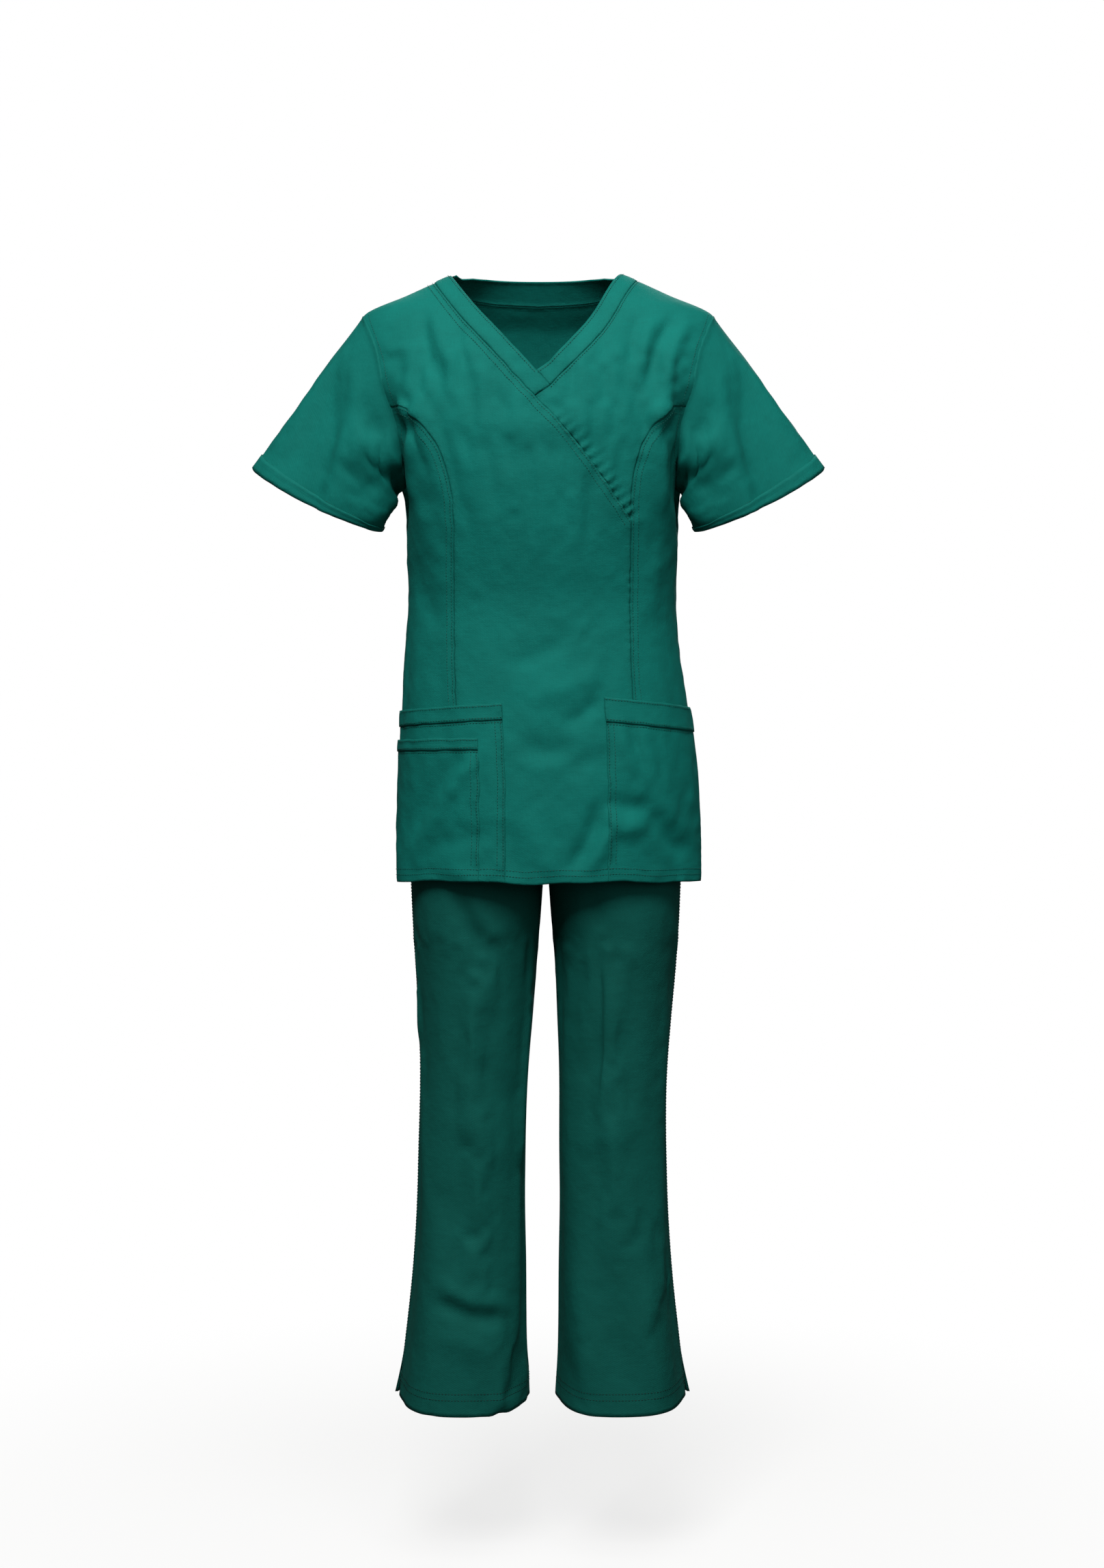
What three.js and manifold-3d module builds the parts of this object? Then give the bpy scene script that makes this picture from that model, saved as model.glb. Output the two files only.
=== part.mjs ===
// Scrub suit: a short-sleeved mock-wrap top over straight trousers, standing as worn.
// Millimetres, +Z up, the front faces -Y, and +X is the wearer's left.
// The origin is the centre of the trousers' waist, level with the top of the waistband.
import * as THREE from 'three';
import { mergeVertices } from 'three/addons/utils/BufferGeometryUtils.js';
import Module from 'manifold-3d';

const wasm = await Module();
wasm.setup();

// Cloth and seams
const CLOTH = 1.0; // thickness of one ply as modelled
const PLY_GAP = 0.3; // clearance between two plies that lie on each other
const SEAM_GAP = 0.3; // clearance between two panels that meet edge to edge
const ROUNDNESS = 2.4; // exponent of every body section: 2 is an ellipse
const FAR = 600; // beyond every piece, for cutters

// Top: heights
const TOP_HEM_Z = -300;
const TOP_HEM_DEPTH = 22;
const VENT_HEIGHT = 42;
const VENT_SPREAD = 4; // half opening of a side vent at the hem
const NECK_TOP_Z = 392;
const SHOULDER_TIP = [200, 339]; // x, z where the shoulder seam meets the sleeve
const ARMPIT = [166, 145]; // x, z
const V_POINT = [-1.5, 261]; // x, z of the bottom of the neckline

// Top: half widths and depths of the body sections
const HEM_HALF_WIDTH = 168;
const HIP_HALF_WIDTH = 166;
const WAIST_HALF_WIDTH = 151;
const NECK_HALF_WIDTH = 84;
const CHEST_FRONT = 122;
const CHEST_BACK = 114;

// Top: details
const NECK_BAND = 21;
const WRAP_FACING = 24;
const PRINCESS_X = 97; // the front seams below the chest
const RIGHT_POCKET = { inner: -47, top: -104, slope: 0.05, band: 18 };
const UTILITY_POCKET = { inner: -75, top: -142, slope: 0.01, band: 13 };
const LEFT_POCKET = { inner: 65, top: -97, slope: 0.1, band: 27 };

// Sleeves
const SLEEVE_TOP = [124, -171]; // x, z from the shoulder tip to the outer end of the hem
const SLEEVE_UNDERARM = [14, -47]; // x, z from the armpit to its inner end
const CUFF_HALF_DEPTH = 50;
const CUFF_FRONT_DROP = 16; // how far the hem curves out in front
const CUFF_BACK_DROP = 8;
const SLEEVE_HEM = 18;

// Trousers
const WAISTBAND_DEPTH = 40;
const ELASTIC_THICKNESS = 1.5;
const WAIST_EASE = 0.4; // clearance of the waistband inside the top
const HIP_EASE = 1.2; // how far the trousers lie inside the waistband's outer face
const CROTCH_Z = -262;
const FORK_Z = -170; // where the two legs have become one body
const KNEE_Z = -554;
const LEG_HEM_Z = -888;
const LEG_HEM_DEPTH = 25;
const SLIT_HEIGHT = 55;
const SLIT_SPREAD = 5; // half opening of the ankle slit at the hem
const LEG_HEM_OUTER = 162;
const LEG_HEM_INNER = 17;
const KNEE_OUTER = 140;
const KNEE_INNER = 19;

const COLOURS = { top: '#147a6f', trim: '#0f6359', trousers: '#14564d', elastic: '#d8d6cc' };

// ---- small helpers -------------------------------------------------------------------

const ply = (n) => n * (CLOTH + PLY_GAP); // height of the nth ply's inner face over the first

const lerp = THREE.MathUtils.lerp;

// A smooth curve through [z, value, value, ...] rows, which read from low z to high z.
function profile(rows) {
  const slope = (i, k) => {
    const before = rows[Math.max(i - 1, 0)];
    const after = rows[Math.min(i + 1, rows.length - 1)];
    return (after[k] - before[k]) / (after[0] - before[0]);
  };
  return (z, k) => {
    let i = rows.findIndex((row) => row[0] > z) - 1;
    if (i === -2) i = rows.length - 2;
    i = Math.max(i, 0);
    const [from, to] = [rows[i], rows[i + 1]];
    const span = to[0] - from[0];
    const t = THREE.MathUtils.clamp((z - from[0]) / span, 0, 1);
    const [t2, t3] = [t * t, t * t * t];
    return (
      (2 * t3 - 3 * t2 + 1) * from[k] + (3 * t2 - 2 * t3) * to[k] +
      ((t3 - 2 * t2 + t) * slope(i, k) + (t3 - t2) * slope(i + 1, k)) * span
    );
  };
}

// Values that run through the stops with the given number of steps between each two.
function stations(stops, counts) {
  const values = [stops[0]];
  counts.forEach((count, i) => {
    for (let n = 1; n <= count; n++) values.push(lerp(stops[i], stops[i + 1], n / count));
  });
  return values;
}

const bent = (value) => Math.sign(value) * Math.abs(value) ** (2 / ROUNDNESS);

// A closed solid between two offsets of surface(u, v), on the grid us by vs.
function skin(surface, us, vs, inner, outer, { closed = false, trim = (p) => p } = {}) {
  const step = 0.02;
  const middles = vs.map((v) =>
    us.reduce((sum, u) => sum.add(surface(u, v)), new THREE.Vector3()).divideScalar(us.length));
  const points = vs.map((v) => us.map((u) => surface(u, v)));
  const vStep = (vs.at(-1) - vs[0]) * 1e-3;
  const normals = vs.map((v) => us.map((u) => {
    const along = surface(u + step, v).sub(surface(u - step, v));
    const up = surface(u, v + vStep).sub(surface(u, v - vStep));
    return along.cross(up).normalize();
  }));
  let facing = 0;
  points.forEach((row, j) => row.forEach((p, i) => {
    facing += normals[j][i].dot(p.clone().sub(middles[j]));
  }));
  const sign = Math.sign(facing);
  const position = [];
  for (const offset of [outer, inner]) {
    points.forEach((row, j) => row.forEach((p, i) => {
      const moved = p.clone().addScaledVector(normals[j][i], sign * offset);
      position.push(...trim(moved, us[i], vs[j]).toArray());
    }));
  }
  const [nu, nv] = [us.length, vs.length];
  const index = [];
  const at = (i, j, side) => side * nu * nv + j * nu + (i % nu);
  const quad = (a, b, c, d) => index.push(a, b, c, a, c, d);
  const columns = closed ? nu : nu - 1;
  for (let i = 0; i < columns; i++) {
    for (let j = 0; j < nv - 1; j++) {
      quad(at(i, j, 0), at(i + 1, j, 0), at(i + 1, j + 1, 0), at(i, j + 1, 0));
      quad(at(i, j, 1), at(i, j + 1, 1), at(i + 1, j + 1, 1), at(i + 1, j, 1));
    }
    quad(at(i, 0, 1), at(i + 1, 0, 1), at(i + 1, 0, 0), at(i, 0, 0));
    quad(at(i, nv - 1, 0), at(i + 1, nv - 1, 0), at(i + 1, nv - 1, 1), at(i, nv - 1, 1));
  }
  if (!closed) {
    for (let j = 0; j < nv - 1; j++) {
      quad(at(0, j, 1), at(0, j, 0), at(0, j + 1, 0), at(0, j + 1, 1));
      quad(at(nu - 1, j, 0), at(nu - 1, j, 1), at(nu - 1, j + 1, 1), at(nu - 1, j + 1, 0));
    }
  }
  if (sign < 0) index.reverse();
  const geometry = new THREE.BufferGeometry();
  geometry.setAttribute('position', new THREE.Float32BufferAttribute(position, 3));
  geometry.setIndex(index);
  return geometry;
}

function toSolid(geometry) {
  const bare = geometry.index ? geometry.toNonIndexed() : geometry.clone();
  for (const name of Object.keys(bare.attributes)) {
    if (name !== 'position') bare.deleteAttribute(name);
  }
  const merged = mergeVertices(bare, 1e-4);
  return new wasm.Manifold(new wasm.Mesh({
    numProp: 3,
    vertProperties: Float32Array.from(merged.attributes.position.array),
    triVerts: Uint32Array.from(merged.index.array),
  }));
}

function toGeometry(solid) {
  const mesh = solid.getMesh();
  const geometry = new THREE.BufferGeometry();
  geometry.setAttribute('position', new THREE.Float32BufferAttribute(mesh.vertProperties, 3));
  geometry.setIndex(Array.from(mesh.triVerts));
  return geometry;
}

function mirrored(geometry) {
  const copy = geometry.clone();
  copy.scale(-1, 1, 1);
  copy.setIndex(Array.from(copy.index.array).reverse());
  return copy;
}

// A cutter with an outline of [x, z] points, from y = front to y = back.
function prism(outline, front = -FAR, back = FAR) {
  const shape = new THREE.Shape(outline.map(([x, z]) => new THREE.Vector2(x, z)));
  const geometry = new THREE.ExtrudeGeometry(shape, { depth: back - front, bevelEnabled: false });
  geometry.rotateX(Math.PI / 2);
  geometry.translate(0, back, 0);
  return toSolid(geometry);
}

const inFront = (outline) => prism(outline, -FAR, -SEAM_GAP / 2);
const behind = (outline) => prism(outline, SEAM_GAP / 2, FAR);

// The two sides of a line of [x, z] points, each moved by half the width.
function sides(line, width) {
  return [1, -1].map((side) => line.map(([x, z], i) => {
    const [x0, z0] = line[Math.max(i - 1, 0)];
    const [x1, z1] = line[Math.min(i + 1, line.length - 1)];
    const length = Math.hypot(x1 - x0, z1 - z0);
    return [x - side * (z1 - z0) / length * width / 2, z + side * (x1 - x0) / length * width / 2];
  }));
}

function ribbon(line, width, make = inFront) {
  const [one, other] = sides(line, width);
  return make([...one, ...other.reverse()]);
}

const flip = (line) => line.map(([x, z]) => [-x, z]);

const back = (line) => [...line].reverse();

// ---- the top's body surface ----------------------------------------------------------

// Half width, front depth and back depth at each height. Between the armpit and the
// shoulder tip the sections run on past the armhole, and the armhole line cuts them.
const body = profile([
  [TOP_HEM_Z, HEM_HALF_WIDTH, 124, 130],
  [-180, HIP_HALF_WIDTH, 118, 126],
  [-90, 159, 108, 116],
  [0, WAIST_HALF_WIDTH, 100, 105],
  [45, WAIST_HALF_WIDTH + 0.5, 106, 104],
  [100, 157, 117, 108],
  [ARMPIT[1], ARMPIT[0], CHEST_FRONT, 112],
  [ARMPIT[1] + 45, 192, CHEST_FRONT - 1, CHEST_BACK],
  [lerp(ARMPIT[1], SHOULDER_TIP[1], 0.5), SHOULDER_TIP[0] + 8, 113, CHEST_BACK + 1],
  [SHOULDER_TIP[1] - 45, SHOULDER_TIP[0] + 10, 97, 109],
  [SHOULDER_TIP[1], SHOULDER_TIP[0], 72, 92],
  [SHOULDER_TIP[1] + 23, lerp(SHOULDER_TIP[0], NECK_HALF_WIDTH, 0.42), 55, 74],
  [NECK_TOP_Z - 9, NECK_HALF_WIDTH + 22, 42, 60],
  [NECK_TOP_Z, NECK_HALF_WIDTH, 36, 54],
]);

function bodySurface(u, z) {
  const depth = body(z, Math.sin(u) < 0 ? 2 : 3);
  return new THREE.Vector3(body(z, 1) * bent(Math.cos(u)), depth * bent(Math.sin(u)), z);
}

const AROUND = 36;
const around = Array.from({ length: AROUND }, (_, i) => (i / AROUND) * 2 * Math.PI);
const waistLevels = [-WAISTBAND_DEPTH, 0];
const bodyLevels = [
  ...stations([TOP_HEM_Z, TOP_HEM_Z + TOP_HEM_DEPTH, -WAISTBAND_DEPTH], [1, 5]).slice(0, -1),
  ...waistLevels,
  ...stations([0, ARMPIT[1], SHOULDER_TIP[1], NECK_TOP_Z], [3, 6, 4]).slice(1),
];

// One ply of the top: ply 0 is the shell, 1 and up lie on it, -1 lines it.
function bodyPly(number, levels = bodyLevels) {
  const low = ply(number) - CLOTH;
  return toSolid(skin(bodySurface, around, levels, low, low + CLOTH, { closed: true }));
}

// ---- seam lines of the top, as [x, z] ------------------------------------------------

// The armhole from the armpit up to the shoulder tip, on the wearer's left.
const armholeRows = [
  [ARMPIT[1], ARMPIT[0]],
  [ARMPIT[1] + 45, ARMPIT[0] + 2],
  [ARMPIT[1] + 95, ARMPIT[0] + 7.5],
  [SHOULDER_TIP[1] - 51, SHOULDER_TIP[0] - 17.5],
  [SHOULDER_TIP[1] - 14, SHOULDER_TIP[0] - 4],
  [SHOULDER_TIP[1], SHOULDER_TIP[0]],
];
const armholeX = profile(armholeRows);
const cuffTip = [0, 1].map((k) => SHOULDER_TIP[k] + SLEEVE_TOP[k]);
const cuffUnderarm = [0, 1].map((k) => ARMPIT[k] + SLEEVE_UNDERARM[k]);
const armhole = stations([ARMPIT[1], SHOULDER_TIP[1]], [9]).map((z) => [armholeX(z, 1), z]);

// The area of the top that isn't sleeve, wider by a clearance.
function bodyArea(clearance) {
  const sleeveFoot = cuffUnderarm[1] - 2 * CUFF_FRONT_DROP;
  const left = [
    [FAR, -FAR],
    [FAR, sleeveFoot],
    [ARMPIT[0] + 0.5 + clearance, sleeveFoot],
    [ARMPIT[0] + 0.5 + clearance, ARMPIT[1] - 1],
    ...armhole.map(([x, z]) => [x + clearance, z]),
    [FAR, SHOULDER_TIP[1]],
    [FAR, FAR],
  ];
  return prism([...left, ...back(flip(left))]);
}

// The princess seam from below the hem up to the armhole, on the wearer's left.
const princess = [
  [PRINCESS_X + 6, -FAR],
  [PRINCESS_X + 5, TOP_HEM_Z],
  [PRINCESS_X, -100],
  [PRINCESS_X, ARMPIT[1] - 25],
  [PRINCESS_X + 2, ARMPIT[1] + 20],
  [PRINCESS_X + 10, ARMPIT[1] + 47],
  [PRINCESS_X + 29, ARMPIT[1] + 64],
  [PRINCESS_X + 55, ARMPIT[1] + 78],
  [ARMPIT[0] + 10, ARMPIT[1] + 96],
  [FAR, ARMPIT[1] + 110],
];

// The neckline's free edges, from above the shoulder down to the bottom of the V.
const NECK_SIDE_Z = NECK_TOP_Z - 15;
const neckEdgeRight = [
  [V_POINT[0] - 110, FAR],
  [V_POINT[0] - 102, NECK_TOP_Z],
  [V_POINT[0] - 94, NECK_SIDE_Z],
  [V_POINT[0] - 68, lerp(V_POINT[1], NECK_SIDE_Z, 0.67)],
  [V_POINT[0] - 40, lerp(V_POINT[1], NECK_SIDE_Z, 0.4)],
  V_POINT,
];
const neckEdgeLeft = [
  [V_POINT[0] + 110, FAR],
  [V_POINT[0] + 102, NECK_TOP_Z],
  [V_POINT[0] + 86, NECK_SIDE_Z],
  [V_POINT[0] + 62, lerp(V_POINT[1], NECK_SIDE_Z, 0.57)],
  [V_POINT[0] + 38, lerp(V_POINT[1], NECK_SIDE_Z, 0.33)],
  [V_POINT[0] + 15, lerp(V_POINT[1], NECK_SIDE_Z, 0.1)],
  V_POINT,
];

// The bands' joins to the panels lie a band's width outside the free edges.
const [, joinLeft] = sides(back(neckEdgeLeft), 2 * NECK_BAND);
const [joinRight] = sides(back(neckEdgeRight), 2 * NECK_BAND);
const WRAP_END = [PRINCESS_X, ARMPIT[1] - 47];
const wrapStart = joinRight[0];
const wrap = [
  wrapStart,
  [lerp(wrapStart[0], WRAP_END[0], 0.49), lerp(wrapStart[1], WRAP_END[1], 0.42)],
  [lerp(wrapStart[0], WRAP_END[0], 0.79), lerp(wrapStart[1], WRAP_END[1], 0.76)],
  WRAP_END,
];
// Where the bands cross at the bottom of the V, the right one lies over the left one.
const bandCorner = [V_POINT[0] + 14, V_POINT[1] - 16.5];
const bandFoot = wrapPoint(0.12);
const mitre = [V_POINT, bandCorner];
const leftJoin = [bandFoot, bandCorner, ...joinLeft.slice(2)];

function wrapPoint(share) {
  const [[x0, z0], [x1, z1]] = wrap;
  return [lerp(x0, x1, share / 0.49), lerp(z0, z1, share / 0.49)];
}

const overEdge = [...back(joinRight), ...wrap.slice(1)];
const belowWrap = princess.filter(([, z]) => z < WRAP_END[1]);
const aboveWrap = princess.filter(([, z]) => z > WRAP_END[1]);
const fromFoot = [bandFoot, ...wrap.slice(1)];

const backNeck = [
  [V_POINT[0] + 97 + NECK_BAND, FAR],
  [NECK_HALF_WIDTH + 9 + NECK_BAND, NECK_TOP_Z - 11],
  [NECK_HALF_WIDTH + 6, NECK_TOP_Z - 20],
  [NECK_HALF_WIDTH - 34, NECK_TOP_Z - 24],
  [0, NECK_TOP_Z - 26],
];
const backNeckLine = [...backNeck, ...back(flip(backNeck)).slice(1)];

const frontSeams = [overEdge, princess, flip(princess), leftJoin, mitre]
  .map((line) => ribbon(line, SEAM_GAP));

// The side vents, open wedges in both side seams at the hem.
const ventOutline = [[0, VENT_HEIGHT], [-VENT_SPREAD, 0], [-VENT_SPREAD, -20], [VENT_SPREAD, -20],
  [VENT_SPREAD, 0]];
const vent = prism(ventOutline.map(([y, z]) => [y, TOP_HEM_Z + z])).rotate([0, 0, 90]);

// ---- the top -------------------------------------------------------------------------

const area = bodyArea(0);
const shell = bodyPly(0).intersect(area).subtract(vent);
const frontShell = frontSeams.reduce((solid, seam) => solid.subtract(seam), shell);
const backShell = shell.subtract(ribbon(backNeckLine, SEAM_GAP, behind));

const pieces = {};

function add(name, geometry, colour) {
  const material = new THREE.MeshStandardMaterial({ color: colour, roughness: 0.9, metalness: 0 });
  const mesh = new THREE.Mesh(geometry, material);
  mesh.name = name;
  pieces[name] = mesh;
}

const addSolid = (name, solid, colour) => add(name, toGeometry(solid), colour);

const front = (outline) => frontShell.intersect(inFront(outline));

addSolid('front_overlap_panel', front([
  ...belowWrap, ...back(overEdge), [-FAR, FAR], ...back(flip(princess)),
]), COLOURS.top);
addSolid('front_underlap_panel', front([
  ...back(fromFoot), ...leftJoin.slice(1), [FAR, FAR], ...back(aboveWrap),
]), COLOURS.top);
addSolid('neck_band_right', front([
  ...neckEdgeRight, bandCorner, bandFoot, ...joinRight,
]), COLOURS.trim);
addSolid('neck_band_left', front([
  ...back(neckEdgeLeft), ...back(leftJoin).slice(0, -1),
]), COLOURS.trim);
const sideArea = [...princess, [FAR, -FAR]];
addSolid('side_front_panel_left', front(sideArea), COLOURS.top);
addSolid('side_front_panel_right', front(flip(sideArea)), COLOURS.top);

const belowNeck = [...backNeckLine, [-FAR, FAR], [-FAR, -FAR], [FAR, -FAR], [FAR, FAR]];
addSolid('back_panel', backShell.intersect(behind(belowNeck)), COLOURS.top);
addSolid('back_neck_band', backShell.intersect(behind(backNeckLine)), COLOURS.trim);

// The facing inside the wrap edge, which joins the two front panels.
const lining = bodyPly(-1).subtract(vent);
addSolid('wrap_facing', lining.intersect(ribbon(fromFoot, WRAP_FACING)), COLOURS.trim);

const hemLine = TOP_HEM_Z + TOP_HEM_DEPTH;
const hemArea = [[-FAR, TOP_HEM_Z - 1], [FAR, TOP_HEM_Z - 1], [FAR, hemLine], [-FAR, hemLine]];
addSolid('top_hem_front', lining.intersect(inFront(hemArea)), COLOURS.trim);
addSolid('top_hem_back', lining.intersect(behind(hemArea)), COLOURS.trim);

// A patch pocket runs from its inner edge round to the side seam, down to the hem.
function pocketArea({ inner, top, slope }, depth = FAR) {
  const outer = Math.sign(inner) * FAR;
  const edge = (x) => top - slope * Math.abs(x - inner);
  const outline = [[inner, edge(inner)], [outer, edge(outer)],
    [outer, edge(outer) - depth], [inner, edge(inner) - depth]];
  return inFront(outline);
}

function addPocket(name, bandName, size, number) {
  const patch = bodyPly(number).subtract(vent);
  addSolid(name, patch.intersect(pocketArea(size)), COLOURS.top);
  addSolid(bandName, bodyPly(number + 1).intersect(pocketArea(size, size.band)), COLOURS.trim);
}

addPocket('pocket_right', 'pocket_band_right', RIGHT_POCKET, 1);
addPocket('utility_pocket', 'utility_pocket_band', UTILITY_POCKET, 2);
addPocket('pocket_left', 'pocket_band_left', LEFT_POCKET, 1);

// ---- the sleeves ---------------------------------------------------------------------

const cuffMiddle = [0, 1].map((k) => (cuffTip[k] + cuffUnderarm[k]) / 2);
const cuffHalf = [0, 1].map((k) => (cuffTip[k] - cuffUnderarm[k]) / 2);
const cuffLength = Math.hypot(...cuffHalf);

// The armhole ring on the body surface, with angle 0 at the shoulder and pi at the armpit.
function armholeRing(angle) {
  const z = lerp(ARMPIT[1], SHOULDER_TIP[1], (1 + Math.cos(angle)) / 2);
  const share = Math.min(armholeX(z, 1) / body(z, 1), 1) ** ROUNDNESS;
  const isFront = Math.sin(angle) > 0;
  const y = body(z, isFront ? 2 : 3) * (1 - share) ** (1 / ROUNDNESS);
  return new THREE.Vector3(armholeX(z, 1), isFront ? -y : y, z);
}

function cuffRing(angle) {
  const drop = Math.abs(Math.sin(angle)) * (Math.sin(angle) > 0 ? CUFF_FRONT_DROP : CUFF_BACK_DROP);
  return new THREE.Vector3(
    cuffMiddle[0] + cuffHalf[0] * Math.cos(angle) + drop * cuffHalf[1] / cuffLength,
    -CUFF_HALF_DEPTH * Math.sin(angle),
    cuffMiddle[1] + cuffHalf[1] * Math.cos(angle) - drop * cuffHalf[0] / cuffLength,
  );
}

const sleeveSurface = (angle, along) => armholeRing(angle).lerp(cuffRing(angle), along);

const sleeveAround = Array.from({ length: 20 }, (_, i) => ((i + 0.5) / 20) * 2 * Math.PI);
const hemShare = SLEEVE_HEM / Math.hypot(...SLEEVE_TOP);
const sleeveSteps = stations([-0.12, 0.08, 1 - hemShare, 1], [1, 4, 1]);
const closed = { closed: true };
const sleeveTube = toSolid(
  skin(sleeveSurface, sleeveAround, sleeveSteps, -CLOTH, 0, closed)).subtract(bodyArea(SEAM_GAP));
const sleeveHem = skin(sleeveSurface, sleeveAround, sleeveSteps.slice(-2), ply(-1) - CLOTH,
  ply(-1), closed);
add('sleeve_left', toGeometry(sleeveTube), COLOURS.top);
add('sleeve_right', mirrored(toGeometry(sleeveTube)), COLOURS.top);
add('sleeve_hem_left', sleeveHem, COLOURS.trim);
add('sleeve_hem_right', mirrored(sleeveHem), COLOURS.trim);

// ---- the trousers --------------------------------------------------------------------

// The waistband is a folded casing round the elastic, just inside the top.
const casingOuter = -CLOTH - WAIST_EASE;
const pocketOuter = casingOuter - CLOTH;
const elasticOuter = pocketOuter - PLY_GAP;
const elasticInner = elasticOuter - ELASTIC_THICKNESS;
const pocketInner = elasticInner - PLY_GAP;
const casingInner = pocketInner - CLOTH;

function waistRing(inner, outer, drop, fall) {
  const levels = waistLevels.map((z) => z - (z === 0 ? drop : 0) + (z < -30 ? fall : 0));
  return toSolid(skin(bodySurface, around, levels, inner, outer, closed));
}

const casing = waistRing(casingInner, casingOuter, 0, 0)
  .subtract(waistRing(pocketInner, pocketOuter, CLOTH, -1));
const everywhere = [[-FAR, -FAR], [FAR, -FAR], [FAR, FAR], [-FAR, FAR]];
addSolid('waistband_front', casing.intersect(inFront(everywhere)), COLOURS.trousers);
addSolid('waistband_back', casing.intersect(behind(everywhere)), COLOURS.trousers);
addSolid('waist_elastic', waistRing(elasticInner, elasticOuter, CLOTH + PLY_GAP, PLY_GAP),
  COLOURS.elastic);

// Outer edge, inner edge, front depth and back depth of the left leg at each height.
const waistSize = (k) => body(-WAISTBAND_DEPTH, k) + casingOuter - HIP_EASE;
const leg = profile([
  [LEG_HEM_Z, LEG_HEM_OUTER, LEG_HEM_INNER, 80, 86],
  [LEG_HEM_Z + 53, LEG_HEM_OUTER - 7, LEG_HEM_INNER + 3, 78, 84],
  [LEG_HEM_Z + 147, LEG_HEM_OUTER - 17, LEG_HEM_INNER + 4, 75, 80],
  [LEG_HEM_Z + 240, KNEE_OUTER, LEG_HEM_INNER + 5, 75, 80],
  [KNEE_Z, KNEE_OUTER, KNEE_INNER, 77, 82],
  [KNEE_Z + 94, KNEE_OUTER + 5, KNEE_INNER - 6, 82, 86],
  [KNEE_Z + 164, KNEE_OUTER + 10, KNEE_INNER - 10, 88, 92],
  [CROTCH_Z - 40, 153.5, 3, 94, 99],
  [CROTCH_Z, 157, 1, 97, 102],
  [-180, 159, 1, 108, 116],
  [-90, 154, 1, 102.5, 109],
  [-WAISTBAND_DEPTH, waistSize(1), 1, waistSize(2), waistSize(3)],
]);

// Share 0 is the inseam or centre seam, and 1 the outseam; depthIndex picks front or back.
function legSurface(sign, depthIndex) {
  return (share, z) => {
    const [outer, inner, depth] = [leg(z, 1), leg(z, 2), leg(z, depthIndex)];
    const turn = (1 - share) * Math.PI;
    const ring = [
      (outer + inner) / 2 + (outer - inner) / 2 * bent(Math.cos(turn)),
      depth * bent(Math.sin(turn)),
    ];
    const hip = [outer * bent(Math.cos(turn / 2)), depth * bent(Math.sin(turn / 2))];
    const joined = THREE.MathUtils.smoothstep(z, CROTCH_Z, FORK_Z);
    return new THREE.Vector3(
      lerp(ring[0], hip[0], joined), sign * lerp(ring[1], hip[1], joined), z);
  };
}

const legShares = stations([0, 1], [9]);
const legTop = -WAISTBAND_DEPTH - SEAM_GAP;
const legLevels = stations(
  [LEG_HEM_Z, LEG_HEM_Z + LEG_HEM_DEPTH, LEG_HEM_Z + SLIT_HEIGHT, KNEE_Z, CROTCH_Z - 40, CROTCH_Z,
    FORK_Z, legTop], [1, 1, 4, 3, 1, 4, 2]);

function legPanel(sign, depthIndex, levels, outer) {
  const trim = (p, share, z) => {
    const open = Math.max(0, 1 - (z - LEG_HEM_Z) / SLIT_HEIGHT) * SLIT_SPREAD;
    const edge = SEAM_GAP / 2 + (share > 0.5 ? open : 0);
    return new THREE.Vector3(
      Math.max(p.x, SEAM_GAP / 2), sign * Math.max(sign * p.y, edge), p.z);
  };
  return skin(legSurface(sign, depthIndex), legShares, levels, outer - CLOTH, outer, { trim });
}

for (const [face, sign, depthIndex] of [['front', -1, 3], ['back', 1, 4]]) {
  const panel = legPanel(sign, depthIndex, legLevels, 0);
  const hem = legPanel(sign, depthIndex, legLevels.slice(0, 2), ply(-1));
  add(`trouser_${face}_left`, panel, COLOURS.trousers);
  add(`trouser_${face}_right`, mirrored(panel), COLOURS.trousers);
  add(`leg_hem_${face}_left`, hem, COLOURS.trousers);
  add(`leg_hem_${face}_right`, mirrored(hem), COLOURS.trousers);
}

// ---- the suit ------------------------------------------------------------------------

const suit = new THREE.Group();
suit.name = 'scrub_suit';
suit.add(...Object.values(pieces));

export default suit;
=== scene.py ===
"""A scrub suit: mock-wrap top over straight trousers, standing as worn, with nobody in it."""

import math

import bpy
import numpy as np
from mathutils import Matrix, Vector
from mathutils.geometry import delaunay_2d_cdt
from mathutils.kdtree import KDTree


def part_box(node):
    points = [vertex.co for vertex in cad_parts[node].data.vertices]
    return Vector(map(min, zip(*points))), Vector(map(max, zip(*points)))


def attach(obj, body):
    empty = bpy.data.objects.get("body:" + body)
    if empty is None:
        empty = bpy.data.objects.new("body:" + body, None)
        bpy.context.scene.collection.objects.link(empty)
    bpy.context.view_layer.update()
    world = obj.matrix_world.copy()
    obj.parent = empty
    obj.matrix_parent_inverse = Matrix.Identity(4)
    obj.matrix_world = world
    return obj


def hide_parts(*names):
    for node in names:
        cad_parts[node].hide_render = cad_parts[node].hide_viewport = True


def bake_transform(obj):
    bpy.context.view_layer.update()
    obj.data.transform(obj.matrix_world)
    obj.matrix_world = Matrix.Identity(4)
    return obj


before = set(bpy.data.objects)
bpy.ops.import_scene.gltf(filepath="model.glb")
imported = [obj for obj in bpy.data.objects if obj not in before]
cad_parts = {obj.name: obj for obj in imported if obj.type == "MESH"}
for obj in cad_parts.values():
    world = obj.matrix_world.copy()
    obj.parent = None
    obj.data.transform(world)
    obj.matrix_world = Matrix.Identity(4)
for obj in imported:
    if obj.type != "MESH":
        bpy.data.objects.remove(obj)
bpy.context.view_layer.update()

MM = 0.001
FAR = 600.0
ROUNDNESS = 2.4  # exponent of the body sections: 2 is an ellipse

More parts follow.
